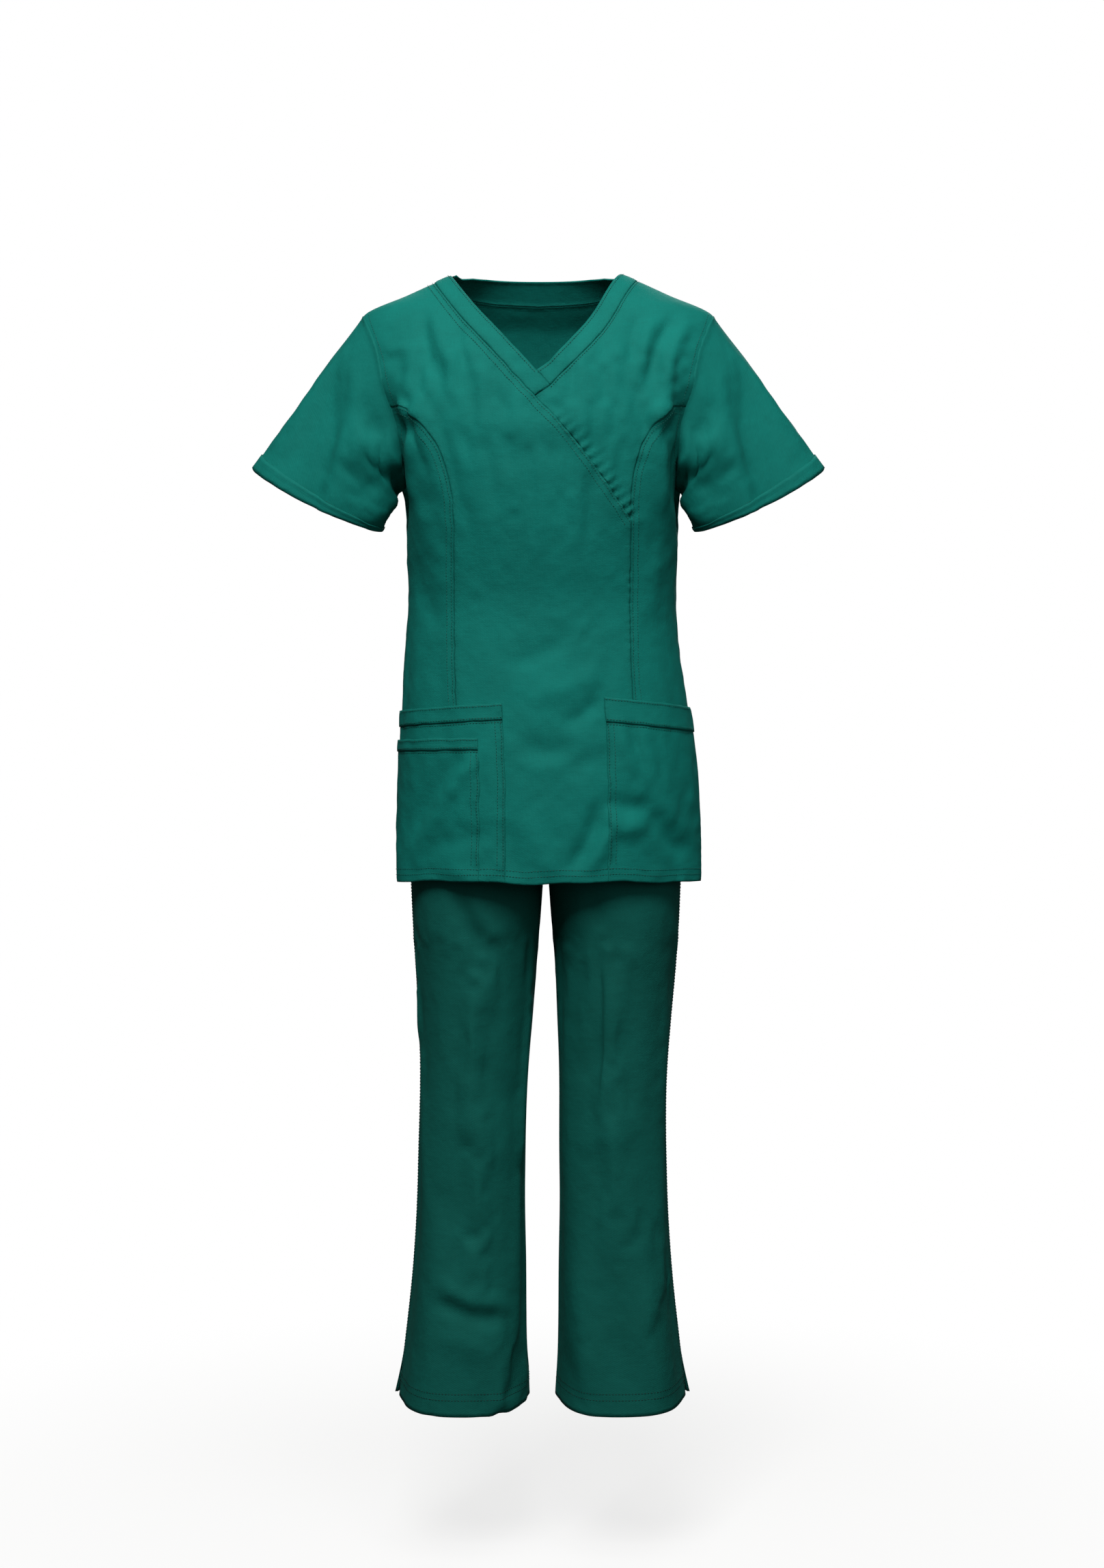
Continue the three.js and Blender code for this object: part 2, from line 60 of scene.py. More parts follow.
# ---- sizes, in millimetres -----------------------------------------------------------

TOP_HEM_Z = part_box("back_panel")[0].z / MM
NECK_TOP_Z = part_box("back_neck_band")[1].z / MM
LEG_HEM_Z = -888.0
WAISTBAND_DEPTH = 40.0
SHOULDER_TIP = (200.0, 339.0)
ARMPIT = (166.0, 145.0)
V_POINT = (-1.5, 261.0)
NECK_HALF_WIDTH = 84.0
NECK_BAND = 21.0
PRINCESS_X = 97.0
TOP_HEM_DEPTH = 22.0
VENT_HEIGHT = 42.0
LEG_HEM_DEPTH = 25.0
SLIT_HEIGHT = 55.0
CROTCH_Z = -262.0
FORK_Z = -170.0
CUFF_TIP = (324.0, 168.0)
CUFF_UNDERARM = (180.0, 98.0)
RIGHT_POCKET = {"inner": -47.0, "top": -104.0, "slope": 0.05, "band": 18.0}
UTILITY_POCKET = {"inner": -75.0, "top": -142.0, "slope": 0.01, "band": 13.0}
LEFT_POCKET = {"inner": 65.0, "top": -97.0, "slope": 0.1, "band": 27.0}

CLOTH = 0.8  # thickness of one ply
GRAIN = 5.0  # spacing of the points of a panel


# ---- curves and sections -------------------------------------------------------------


def profile(rows):
    """A smooth curve through rows of z and values, read from low z to high z."""
    rows = np.array(rows, float)
    zs = rows[:, 0]
    after = np.vstack([rows[1:], rows[-1:]])
    before = np.vstack([rows[:1], rows[:-1]])
    slopes = (after - before) / (after[:, :1] - before[:, :1])

    def value(z, k):
        z = np.asarray(z, float)
        i = np.clip(np.searchsorted(zs, z, side="right") - 1, 0, len(zs) - 2)
        span = zs[i + 1] - zs[i]
        t = np.clip((z - zs[i]) / span, 0, 1)
        ends = (2 * t**3 - 3 * t**2 + 1) * rows[i, k] + (3 * t**2 - 2 * t**3) * rows[i + 1, k]
        turns = (t**3 - 2 * t**2 + t) * slopes[i, k] + (t**3 - t**2) * slopes[i + 1, k]
        return ends + turns * span

    return value


def bent(value):
    return np.sign(value) * np.abs(value) ** (2 / ROUNDNESS)


def smooth(value, low, high):
    t = np.clip((np.asarray(value, float) - low) / (high - low), 0, 1)
    return t * t * (3 - 2 * t)


BODY = profile([
    [TOP_HEM_Z, 168, 124, 130],
    [-180, 166, 118, 126],
    [-90, 159, 108, 116],
    [0, 151, 100, 105],
    [45, 151.5, 106, 104],
    [100, 157, 117, 108],
    [145, 166, 122, 112],
    [190, 192, 121, 114],
    [242, 208, 113, 115],
    [294, 210, 97, 109],
    [339, 200, 72, 92],
    [362, 151.3, 55, 74],
    [383, 106, 42, 60],
    [NECK_TOP_Z, NECK_HALF_WIDTH, 36, 54],
])
ARMHOLE = profile([[145, 166], [190, 168], [240, 173.5], [288, 182.5], [325, 196], [339, 200]])
LEG = profile([
    [LEG_HEM_Z, 162, 17, 80, 86],
    [-835, 155, 20, 78, 84],
    [-741, 145, 21, 75, 80],
    [-648, 140, 22, 75, 80],
    [-554, 140, 19, 77, 82],
    [-460, 145, 13, 82, 86],
    [-390, 150, 9, 88, 92],
    [-302, 153.5, 3, 94, 99],
    [CROTCH_Z, 157, 1, 97, 102],
    [-180, 159, 1, 108, 116],
    [-90, 154, 1, 102.5, 109],
    [-WAISTBAND_DEPTH, 151.2, 1, 98.5, 105],
])


def body_section(angle, z):
    depth = np.where(np.sin(angle) < 0, BODY(z, 2), BODY(z, 3))
    return np.stack([BODY(z, 1) * bent(np.cos(angle)), depth * bent(np.sin(angle)),
                     np.broadcast_to(z, np.shape(angle))], -1)


def leg_section(share, z, face):
    """Half a trouser leg: share 0 is the inseam or centre seam, 1 the outseam."""
    outer, inner = LEG(z, 1), LEG(z, 2)
    depth = LEG(z, 3 if face < 0 else 4)
    turn = (1 - share) * math.pi
    ring_x = (outer + inner) / 2 + (outer - inner) / 2 * bent(np.cos(turn))
    ring_y = depth * bent(np.sin(turn))
    joined = smooth(z, CROTCH_Z, FORK_Z)
    x = ring_x + (outer * bent(np.cos(turn / 2)) - ring_x) * joined
    y = ring_y + (depth * bent(np.sin(turn / 2)) - ring_y) * joined
    return np.stack([x, face * y, np.broadcast_to(z, np.shape(share))], -1)


def even(points, count):
    """The same line with its points an equal length apart."""
    run = np.concatenate([[0], np.cumsum(np.linalg.norm(np.diff(points, axis=0), axis=1))])
    at = np.linspace(0, run[-1], count)
    return np.stack([np.interp(at, run, points[:, k]) for k in range(points.shape[1])], -1)


def bicubic(grid, row, column, wrap):
    """Values of a grid between its points."""
    rows, columns = grid.shape[:2]
    r0, c0 = np.floor(row).astype(int), np.floor(column).astype(int)
    total = 0

    def weights(t):
        return [
            -0.5 * t**3 + t**2 - 0.5 * t,
            1.5 * t**3 - 2.5 * t**2 + 1,
            -1.5 * t**3 + 2 * t**2 + 0.5 * t,
            0.5 * t**3 - 0.5 * t**2,
        ]

    for dr, wr in zip(range(-1, 3), weights(row - r0)):
        r = np.clip(r0 + dr, 0, rows - 1)
        for dc, wc in zip(range(-1, 3), weights(column - c0)):
            c = (c0 + dc) % columns if wrap else np.clip(c0 + dc, 0, columns - 1)
            total = total + grid[r, c] * (wr * wc)[..., None]
    return total


# ---- cloth simulation ----------------------------------------------------------------


def grid_faces(rows, columns, wrap):
    faces = []
    for r in range(rows - 1):
        for c in range(columns if wrap else columns - 1):
            d = (c + 1) % columns
            faces.append((r * columns + c, r * columns + d, (r + 1) * columns + d,
                          (r + 1) * columns + c))
    return faces


def new_object(name, points_mm, faces):
    mesh = bpy.data.meshes.new(name)
    mesh.from_pydata((np.asarray(points_mm, float) * MM).tolist(), [], faces)
    mesh.update()
    piece = bpy.data.objects.new(name, mesh)
    bpy.context.scene.collection.objects.link(piece)
    return piece


def settle(name, grid, pinned, core, growth, frames, cap, seed):
    """How far each point of a closed tube of cloth moves as it settles over a core."""
    rows, columns = grid.shape[:2]
    faces = grid_faces(rows, columns, True)
    jitter = np.random.default_rng(seed).normal(0, 0.35, grid.shape) * (1 - pinned)[..., None]
    sheet = new_object(name + "_settling", (grid + jitter).reshape(-1, 3), faces)
    inside = new_object(name + "_core", core.reshape(-1, 3), faces)
    collision = inside.modifiers.new("Collision", "COLLISION")
    collision.settings.thickness_outer = 0.002
    group = sheet.vertex_groups.new(name="held")
    for i, weight in enumerate(pinned.reshape(-1)):
        group.add([i], float(weight), "REPLACE")
    cloth = sheet.modifiers.new("Cloth", "CLOTH")
    settings = cloth.settings
    settings.quality = 6
    settings.mass = 0.18
    settings.tension_stiffness = 40
    settings.compression_stiffness = 40
    settings.shear_stiffness = 15
    settings.bending_stiffness = 1.2
    settings.air_damping = 3
    settings.shrink_min = -growth
    settings.vertex_group_mass = "held"
    cloth.collision_settings.distance_min = 0.003
    cloth.point_cache.frame_start = 1
    cloth.point_cache.frame_end = frames
    scene = bpy.context.scene
    for number in range(1, frames + 1):
        scene.frame_set(number)
    settled = sheet.evaluated_get(bpy.context.evaluated_depsgraph_get())
    co = np.empty(rows * columns * 3)
    settled.data.vertices.foreach_get("co", co)
    moved = co.reshape(rows, columns, 3) / MM - grid
    scene.frame_set(1)
    for piece in (sheet, inside):
        bpy.data.objects.remove(piece)
    moved = moved - 0.85 * blurred(moved, 5.0, columns / 9.0)
    moved = moved * (1 - pinned)[..., None] * np.array([1, 1, 0.4])
    length = np.linalg.norm(moved, axis=-1, keepdims=True)
    return moved * np.minimum(1, cap / np.maximum(length, 1e-6))


def blurred(grid, down, around):
    """A smoothed copy of a closed tube's values, so that its girth can be kept."""
    for axis, width in ((0, down), (1, around)):
        reach = int(3 * width)
        weights = np.exp(-(np.arange(-reach, reach + 1) / width) ** 2 / 2)
        total = np.zeros_like(grid)
        for step, weight in zip(range(-reach, reach + 1), weights / weights.sum()):
            if axis == 1:
                total += weight * np.roll(grid, -step, axis=1)
            else:
                total += weight * grid[np.clip(np.arange(len(grid)) + step, 0, len(grid) - 1)]
        grid = total
    return grid


# ---- the top's surface ---------------------------------------------------------------

HALF = 220  # columns of half a body section in the base table
FINE_STEP = 2.0
FINE_Z = np.arange(TOP_HEM_Z - 4, NECK_TOP_Z + 2.1, FINE_STEP)
SIM_STEP = 10.0  # rows of a cloth simulation


def body_table(levels, half):
    table = []
    for z in levels:
        front = body_section(np.linspace(math.pi, 2 * math.pi, 721), z)
        rear = body_section(np.linspace(0, math.pi, 721), z)
        table.append(np.vstack([even(front, half + 1)[:-1], even(rear, half + 1)[:-1]]))
    return np.array(table)


BODY_TABLE = body_table(FINE_Z, HALF)


def table_lengths():
    closed = np.concatenate([BODY_TABLE, BODY_TABLE[:, :1]], 1)
    steps = np.linalg.norm(np.diff(closed, axis=1), axis=-1)
    return steps[:, :HALF].sum(1), steps[:, HALF:].sum(1)


HALF_LENGTHS = table_lengths()


def half_length(z, face):
    """Length of the front or back half of a section."""
    return np.interp(z, FINE_Z, HALF_LENGTHS[0 if face < 0 else 1])


def table_rises():
    """Length up the middle of the front and of the back, which is more than the height."""
    steps = np.linalg.norm(np.diff(BODY_TABLE, axis=0), axis=-1)
    front = steps[:, 20:HALF - 20].mean(1)
    rear = steps[:, HALF + 20:-20].mean(1)
    return [np.concatenate([[0], np.cumsum(side)]) + FINE_Z[0] for side in (front, rear)]


RISE = table_rises()


def rise(z, face):
    return np.interp(z, FINE_Z, RISE[0 if face < 0 else 1])


def height_of(v, face):
    return np.interp(v, RISE[0 if face < 0 else 1], FINE_Z)


SIM_Z = np.arange(TOP_HEM_Z, NECK_TOP_Z + 5, SIM_STEP)
SIM_HALF = 44


def settle_top():
    grid = body_table(SIM_Z, SIM_HALF)
    x, z = np.abs(grid[..., 0]), grid[..., 2]
    held = smooth(z, 255, 335)
    held = np.maximum(held, smooth(z, 140, 185) * smooth(x, ARMHOLE(z, 1) - 26, ARMHOLE(z, 1)))
    middle = np.array([0, 6])
    core = grid.copy()
    core[..., :2] = (grid[..., :2] - middle) * 0.965 + middle
    return settle("top", grid, held, core, 0.026, 26, 14, 3)


TOP_SHIFT = settle_top()


def lean(z):
    """The worn top hangs a little to the wearer's left below the waist and right above it."""
    return 7.0 * smooth(-z, 20, 200) - 4.5 * smooth(z, 90, 240)


def top_base(t, z):
    """t runs 0 to 1 across the front from right to left and 1 to 2 across the back."""
    base = bicubic(BODY_TABLE, (z - FINE_Z[0]) / FINE_STEP, t * HALF, True)
    shift = bicubic(TOP_SHIFT, (z - SIM_Z[0]) / SIM_STEP, t * SIM_HALF, True)
    point = base + shift
    point[..., 0] += lean(z)
    return point


# Folds of the front, each from one point to another in the front view (x, z), with its
# half width and its height: above 0 a ridge, below 0 a valley.
FRONT_FOLDS = [
    ((-128, 330), (-108, 250), 7, -3.0),
    ((-116, 332), (-92, 262), 8, 2.2),
    ((-88, 322), (-70, 248), 7, -2.2),
    ((-98, 300), (-40, 235), 16, 1.6),
    ((112, 330), (104, 262), 9, -2.2),
    ((128, 325), (118, 262), 9, 2.4),
    ((152, 330), (118, 236), 8, -3.6),
    ((166, 322), (140, 242), 8, 3.0),
    ((-160, 226), (-128, 214), 8, 3.4),
    ((-166, 208), (-134, 196), 8, -3.4),
    ((150, 222), (120, 206), 9, 3.0),
    ((-148, 190), (-138, 120), 9, 3.2),
    ((-132, 176), (-124, 108), 9, -2.6),
    ((140, 184), (132, 108), 9, 3.0),
    ((154, 182), (150, 118), 7, -3.0),
    ((-92, 208), (100, 212), 16, 1.7),
    ((-90, 182), (60, 176), 15, -0.8),
    ((-136, 60), (-116, -20), 12, -2.2),
    ((132, 70), (120, -10), 12, 2.0),
    ((-40, -60), (30, -30), 13, -2.0),
    ((-20, -96), (62, -70), 13, 2.2),
    ((20, -128), (62, -96), 9, -3.0),
    ((-30, -150), (66, -162), 16, -3.4),
    ((-20, -176), (60, -146), 11, 2.4),
    ((24, -286), (58, -214), 10, -4.2),
    ((40, -290), (74, -212), 9, 3.4),
    ((60, -212), (112, -216), 10, -3.4),
    ((74, -246), (104, -232), 12, 3.8),
    ((112, -218), (150, -272), 9, -3.6),
    ((92, -126), (128, -214), 8, -2.4),
    ((100, -122), (148, -250), 9, 3.0),
    ((76, -130), (120, -200), 9, 1.8),
    ((-72, -158), (-142, -278), 8, 2.6),
    ((-82, -150), (-150, -250), 9, -2.6),
    ((-60, -250), (-128, -262), 11, -1.8),
    ((-20, -230), (6, -292), 12, 2.0),
    ((-44, -236), (-30, -296), 10, -2.0),
    ((-110, -282), (-60, -300), 9, 1.8),
]
BACK_FOLDS = [
    ((-60, 320), (-20, 250), 18, -2.0),
    ((60, 320), (20, 250), 18, -2.0),
    ((-150, 200), (-90, 120), 12, 3.0),
    ((150, 200), (90, 120), 12, 3.0),
    ((-110, 60), (-30, -6), 14, -3.2),
    ((110, 60), (30, -6), 14, -3.2),
    ((-90, 36), (90, 40), 12, 2.6),
    ((-128, 40), (-60, 84), 9, 2.8),
    ((126, 52), (64, 96), 9, 2.8),
    ((-120, 10), (-50, -30), 8, 2.4),
    ((118, 4), (54, -36), 8, 2.4),
    ((-84, 250), (-128, 214), 9, 2.4),
    ((86, 246), (130, 208), 9, 2.4),
    ((-100, -40), (-60, -280), 16, 3.2),
    ((96, -50), (64, -280), 16, 3.2),
    ((-10, -60), (6, -290), 20, -3.4),
    ((-140, -80), (-126, -250), 12, -1.4),
    ((138, -80), (124, -250), 12, -1.4),
]


def folds_at(folds, x, z):
    """Height of the folds at points of the front view; a fold fades towards its ends."""
    height = np.zeros(np.shape(x))
    for (x0, z0), (x1, z1), width, tall in folds:
        length = math.hypot(x1 - x0, z1 - z0)
        along = ((x - x0) * (x1 - x0) + (z - z0) * (z1 - z0)) / length**2
        bow = 0.06 * length * np.sin(np.clip(along, 0, 1) * math.pi)
        across = ((x - x0) * (z1 - z0) - (z - z0) * (x1 - x0)) / length - bow
        fade = smooth(along, -0.15, 0.3) * smooth(-along, -1.15, -0.7)
        height += tall * fade * np.exp(-((across / width) ** 2))
    return height


def near_line(x, z, line):
    """Distance to a line of (x, z) points, how far along it, and which side."""
    best = np.full(np.shape(x), 1e9)
    along = np.zeros(np.shape(x))
    side = np.zeros(np.shape(x))
    run = 0.0
    for (x0, z0), (x1, z1) in zip(line[:-1], line[1:]):
        length = math.hypot(x1 - x0, z1 - z0)
        t = np.clip(((x - x0) * (x1 - x0) + (z - z0) * (z1 - z0)) / length**2, 0, 1)
        dx, dz = x - (x0 + t * (x1 - x0)), z - (z0 + t * (z1 - z0))
        gap = np.hypot(dx, dz)
        closer = gap < best
        best = np.where(closer, gap, best)
        along = np.where(closer, run + t * length, along)
        side = np.where(closer, np.sign((x1 - x0) * dz - (z1 - z0) * dx), side)
        run += length
    return best, along, side


# ---- seam lines of the top in the front view, as (x, z) ------------------------------


def rounded(line, passes=2):
    """The line with its corners cut, so that a few points give a smooth curve."""
    for _ in range(passes):
        cut = [line[0]]
        for (x0, z0), (x1, z1) in zip(line[:-1], line[1:]):
            cut.append((0.75 * x0 + 0.25 * x1, 0.75 * z0 + 0.25 * z1))
            cut.append((0.25 * x0 + 0.75 * x1, 0.25 * z0 + 0.75 * z1))
        line = cut + [line[-1]]
    return line


def flip(line):
    return [(-x, z) for x, z in line]


def sides(line, width):
    found = []
    for side in (1, -1):
        moved = []
        for i, (x, z) in enumerate(line):
            x0, z0 = line[max(i - 1, 0)]
            x1, z1 = line[min(i + 1, len(line) - 1)]
            length = math.hypot(x1 - x0, z1 - z0)
            moved.append((x - side * (z1 - z0) / length * width,
                          z + side * (x1 - x0) / length * width))
        found.append(moved)
    return found


PRINCESS_REACH = ARMPIT[0] + 12 - PRINCESS_X
PRINCESS = rounded([
    (PRINCESS_X + 6, -FAR), (PRINCESS_X + 5, TOP_HEM_Z), (PRINCESS_X, -100), (PRINCESS_X, 80),
] + [
    (PRINCESS_X + PRINCESS_REACH * (1 - math.cos(a)), 110 + 122 * math.sin(a))
    for a in (0.1, 0.35, 0.6, 0.85, 1.1, 1.35)
] + [(FAR, 238)])
NECK_SIDE_Z = NECK_TOP_Z - 15
NECK_DIP = 5  # how far below the top of the back neck the bands meet at the shoulder


def neck_z(share):
    return V_POINT[1] + (NECK_SIDE_Z - V_POINT[1]) * share


NECK_RIGHT = [(V_POINT[0] - 110, FAR), (V_POINT[0] - 102, NECK_TOP_Z),
              (V_POINT[0] - 94, NECK_SIDE_Z), (V_POINT[0] - 68, neck_z(0.67)),
              (V_POINT[0] - 40, neck_z(0.4)), V_POINT]
NECK_LEFT = [(V_POINT[0] + 110, FAR), (V_POINT[0] + 102, NECK_TOP_Z),
             (V_POINT[0] + 86, NECK_SIDE_Z), (V_POINT[0] + 62, neck_z(0.57)),
             (V_POINT[0] + 38, neck_z(0.33)), (V_POINT[0] + 15, neck_z(0.1)), V_POINT]
JOIN_LEFT = sides(NECK_LEFT[::-1], NECK_BAND)[1]
JOIN_RIGHT = sides(NECK_RIGHT[::-1], NECK_BAND)[0]
WRAP_END = (PRINCESS_X, 98)
WRAP_START = JOIN_RIGHT[0]


def wrap_at(share_x, share_z):
    return (WRAP_START[0] + (WRAP_END[0] - WRAP_START[0]) * share_x,
            WRAP_START[1] + (WRAP_END[1] - WRAP_START[1]) * share_z)


WRAP = rounded([WRAP_START, wrap_at(0.49, 0.42), wrap_at(0.79, 0.76), WRAP_END])
BAND_CORNER = (V_POINT[0] + 14, V_POINT[1] - 16.5)
BAND_FOOT = wrap_at(0.12, 0.12 * 0.42 / 0.49)
LEFT_JOIN = [BAND_FOOT, BAND_CORNER] + rounded(JOIN_LEFT[2:])
NECK_LEFT, NECK_RIGHT, JOIN_RIGHT = rounded(NECK_LEFT), rounded(NECK_RIGHT), rounded(JOIN_RIGHT)
BELOW_WRAP = [p for p in PRINCESS if p[1] < WRAP_END[1]]
ABOVE_WRAP = [p for p in PRINCESS if p[1] > WRAP_END[1]]
FROM_FOOT = [BAND_FOOT] + [p for p in WRAP if p[1] < BAND_FOOT[1] - 2]
BACK_NECK = [(V_POINT[0] + 118, FAR), (NECK_HALF_WIDTH + 30, NECK_TOP_Z - 11),
             (NECK_HALF_WIDTH + 6, NECK_TOP_Z - 20), (NECK_HALF_WIDTH - 34, NECK_TOP_Z - 24),
             (0, NECK_TOP_Z - 26)]
BACK_NECK_LINE = BACK_NECK + flip(BACK_NECK)[::-1][1:]


# ---- panels cut from the top's surface -----------------------------------------------


def inside(polygon, x, y):
    """Whether points lie in a polygon."""
    found = np.zeros(np.shape(x), bool)
    px, py = np.array(polygon).T
    for x0, y0, x1, y1 in zip(px, py, np.roll(px, -1), np.roll(py, -1)):
        crosses = (y0 > y) != (y1 > y)
        if y0 != y1:
            found ^= crosses & (x < (x1 - x0) * (y - y0) / (y1 - y0) + x0)
    return found


CLOSED_X = np.concatenate([BODY_TABLE[..., 0], BODY_TABLE[:, :1, 0]], 1)
SHARES = np.linspace(0, 1, HALF + 1)


def shared_row(z, face):
    """x of the fine columns of one half at height z."""
    row = np.clip((z - FINE_Z[0]) / 2.0, 0, len(FINE_Z) - 1.001)
    low = int(row)
    closed = CLOSED_X[low:low + 2]
    xs = closed[0] * (1 - row + low) + closed[1] * (row - low)
    return xs[:HALF + 1] if face < 0 else xs[HALF:][::-1]


def to_flat(points, face):
    """Front view (x, z) to the flat cut (length from the centre line, length up)."""
    flat = []
    for x, z in points:
        xs = shared_row(z, face)
        t = np.interp(x, xs, SHARES)
        flat.append((float((t - 0.5) * half_length(z, face)), float(rise(z, face))))
    return flat


def front_x(s, z, face):
    """x in the front view of flat points before any fold."""
    return bicubic(BODY_TABLE, (z - FINE_Z[0]) / 2.0, share_of(s, z, face) * HALF, True)[..., 0]


def share_of(s, z, face):
    """The t of a flat point."""
    t = np.clip(s / half_length(z, face) + 0.5, 0, 1)
    return t if face < 0 else 2 - t


def dense(line, step):
    points = [line[0]]
    for (x0, z0), (x1, z1) in zip(line[:-1], line[1:]):
        count = max(1, math.ceil(math.hypot(x1 - x0, z1 - z0) / step))
        for n in range(1, count + 1):
            points.append((x0 + (x1 - x0) * n / count, z0 + (z1 - z0) * n / count))
    return points


def clip_to_body(outline, face):
    """An outline with the parts beyond the body, its hem and its armholes cut back."""
    top = NECK_TOP_Z - (NECK_DIP if face < 0 else 0)
    points = dense(outline + outline[:1], 2.0)[:-1]
    kept = []
    for x, z in points:
        z = min(max(z, TOP_HEM_Z), top)
        limit = float(limit_at(z))
        kept.append((min(max(x, -limit), limit), z))
    return kept


def limit_at(z):
    """Half width of the top's own cloth at height z: its side, armhole or shoulder."""
    z = np.asarray(z, float)
    arm = np.where((z > ARMPIT[1]) & (z < SHOULDER_TIP[1]), ARMHOLE(z, 1), 1e9)
    return np.minimum(arm, BODY(z, 1))


def edge_gap(points, loop):
    """Distance of points to a closed loop."""
    around = dense(loop + loop[:1], 0.8)
    tree = KDTree(len(around))
    for i, (x, y) in enumerate(around):
        tree.insert((x, y, 0), i)
    tree.balance()
    return np.array([tree.find((x, y, 0))[2] for x, y in points])


def clean_loop(points, step=1.2):
    """The loop without points closer than the step."""
    kept = [points[0]]
    for p in points[1:]:
        if math.hypot(p[0] - kept[-1][0], p[1] - kept[-1][1]) >= step:
            kept.append(p)
    while math.hypot(kept[0][0] - kept[-1][0], kept[0][1] - kept[-1][1]) < step:
        kept.pop()
    return kept


def surface(s, z, face, lift):
    """Points of the worn top for flat points, lifted off it along its outward normal."""
    t = share_of(s, z, face)
    step = 2.0 / half_length(z, face)
    along = top_base(t + step, z) - top_base(t - step, z)
    up = top_base(t, np.minimum(z + 2, NECK_TOP_Z)) - top_base(t, np.maximum(z - 2, TOP_HEM_Z))
    normal = np.cross(along, up)
    normal /= np.maximum(np.linalg.norm(normal, axis=-1, keepdims=True), 1e-9)
    x = front_x(s, z, face)
    point = top_base(t, z) + normal * (lift + relief_at(x, z, face))[..., None]
    low = np.clip((VENT_HEIGHT - (z - TOP_HEM_Z)) / VENT_HEIGHT, 0, 1) ** 1.3
    vent = low * np.exp(-(limit_at(z) - np.abs(x)) / 22.0)
    point[..., 1] += face * 6.0 * vent
    hem = smooth(-z, 230, -TOP_HEM_Z)
    point[..., 2] += hem * (1.3 * np.sin(x / 27.0 + 1.1 * face) + 0.8 * np.sin(x / 11.0 + 0.6))
    point[..., 0] += np.sign(x) * (5.0 if face > 0 else -2.0) * vent
    return point


def relief_at(x, z, face):
    height = folds_at(FRONT_FOLDS if face < 0 else BACK_FOLDS, x, z)
    edge = smooth(limit_at(z) - np.abs(x), 0, 14)
    height = 1.45 * height * edge * smooth(NECK_TOP_Z - 20 - z, 0, 30)
    arm = np.maximum(ARMHOLE(z, 1) - np.abs(x), 0)
    low = smooth(-z, -262, -205) * smooth(z, 60, 140)
    height -= (14.0 if face < 0 else 6.0) * low * np.exp(-((arm / 17.0) ** 2))
    height += (4.5 if face < 0 else 2.0) * low * np.exp(-(((arm - 36) / 14.0) ** 2))
    if face < 0:
        height = height + puckers(x, z)
    return height


WRAP_GATHER = (1.6, 10.5)  # height and spacing of the gathers
PRINCESS_GATHER = (0.3, 11.0)


def puckers(x, z):
    """Small gathers where the underlap is eased to the wrap edge and the princess seam."""
    tall, apart = WRAP_GATHER
    gap, along, side = near_line(x, z, FROM_FOOT)
    upper = np.where(side > 0, 1.0, 0.1)
    wave = np.sin(along / apart * 2 * math.pi + 0.8 * np.sin(along / 23))
    gathers = tall * upper * wave * np.exp(-(((gap - 5) / 8.0) ** 2)) * smooth(along, 10, 60)
    tall, apart = PRINCESS_GATHER
    gap, along, _ = near_line(x, z, [(PRINCESS_X, 60), (PRINCESS_X, -70)])
    wave = np.sin(along / apart * 2 * math.pi)
    fading = smooth(along, 0, 30) * smooth(-along, -130, -90)
    return gathers + tall * wave * np.exp(-(gap / 7.0) ** 2) * fading


PIECES = {}


def panel(name, outline, face, lift=0.0, thick=CLOTH, lifted=None, seam=0.6, grain=GRAIN):
    """A panel of the top: its outline in the front view, cut out, worn and given a wall."""
    edge = to_flat(clean_loop(clip_to_body(outline, face)), face)
    count = len(edge)
    s0, v0 = np.min(edge, 0)
    s1, v1 = np.max(edge, 0)
    row = grain * 0.9  # rows of near-equilateral triangles, every other one shifted
    grid_s, grid_v = np.meshgrid(np.arange(s0, s1, grain), np.arange(v0, v1, row))
    grid_s = grid_s + (np.round((grid_v - v0) / row) % 2) * grain / 2
    grid_s, grid_v = grid_s.ravel(), grid_v.ravel()
    gap = edge_gap(zip(grid_s, grid_v), edge)
    keep = inside(edge, grid_s, grid_v) & (gap > 0.75 * grain)
    fill = list(zip(grid_s[keep], grid_v[keep]))
    for ring in sides(edge + edge[:1], 1.8):
        ring = np.array(ring)
        gap = edge_gap(ring, edge)
        good = inside(edge, ring[:, 0], ring[:, 1]) & (gap > 1.6)
        fill += [tuple(p) for p in ring[good]]
    verts = [Vector(p) for p in edge] + [Vector(p) for p in fill]
    edges = [(i, (i + 1) % count) for i in range(count)]
    flat, _, tris, _, _, _ = delaunay_2d_cdt(verts, edges, [], 1, 1e-4)
    flat = np.array([tuple(p) for p in flat])
    s, z = flat[:, 0], height_of(flat[:, 1], face)
    gap = edge_gap(flat, edge)
    height = lift - seam * np.exp(-((gap / 2.2) ** 2))
    if lifted is not None:
        height = height + lifted(s, z)
    points = surface(s, z, face, height)
    return finish_cloth(name, points, flat, tris, thick, gap)


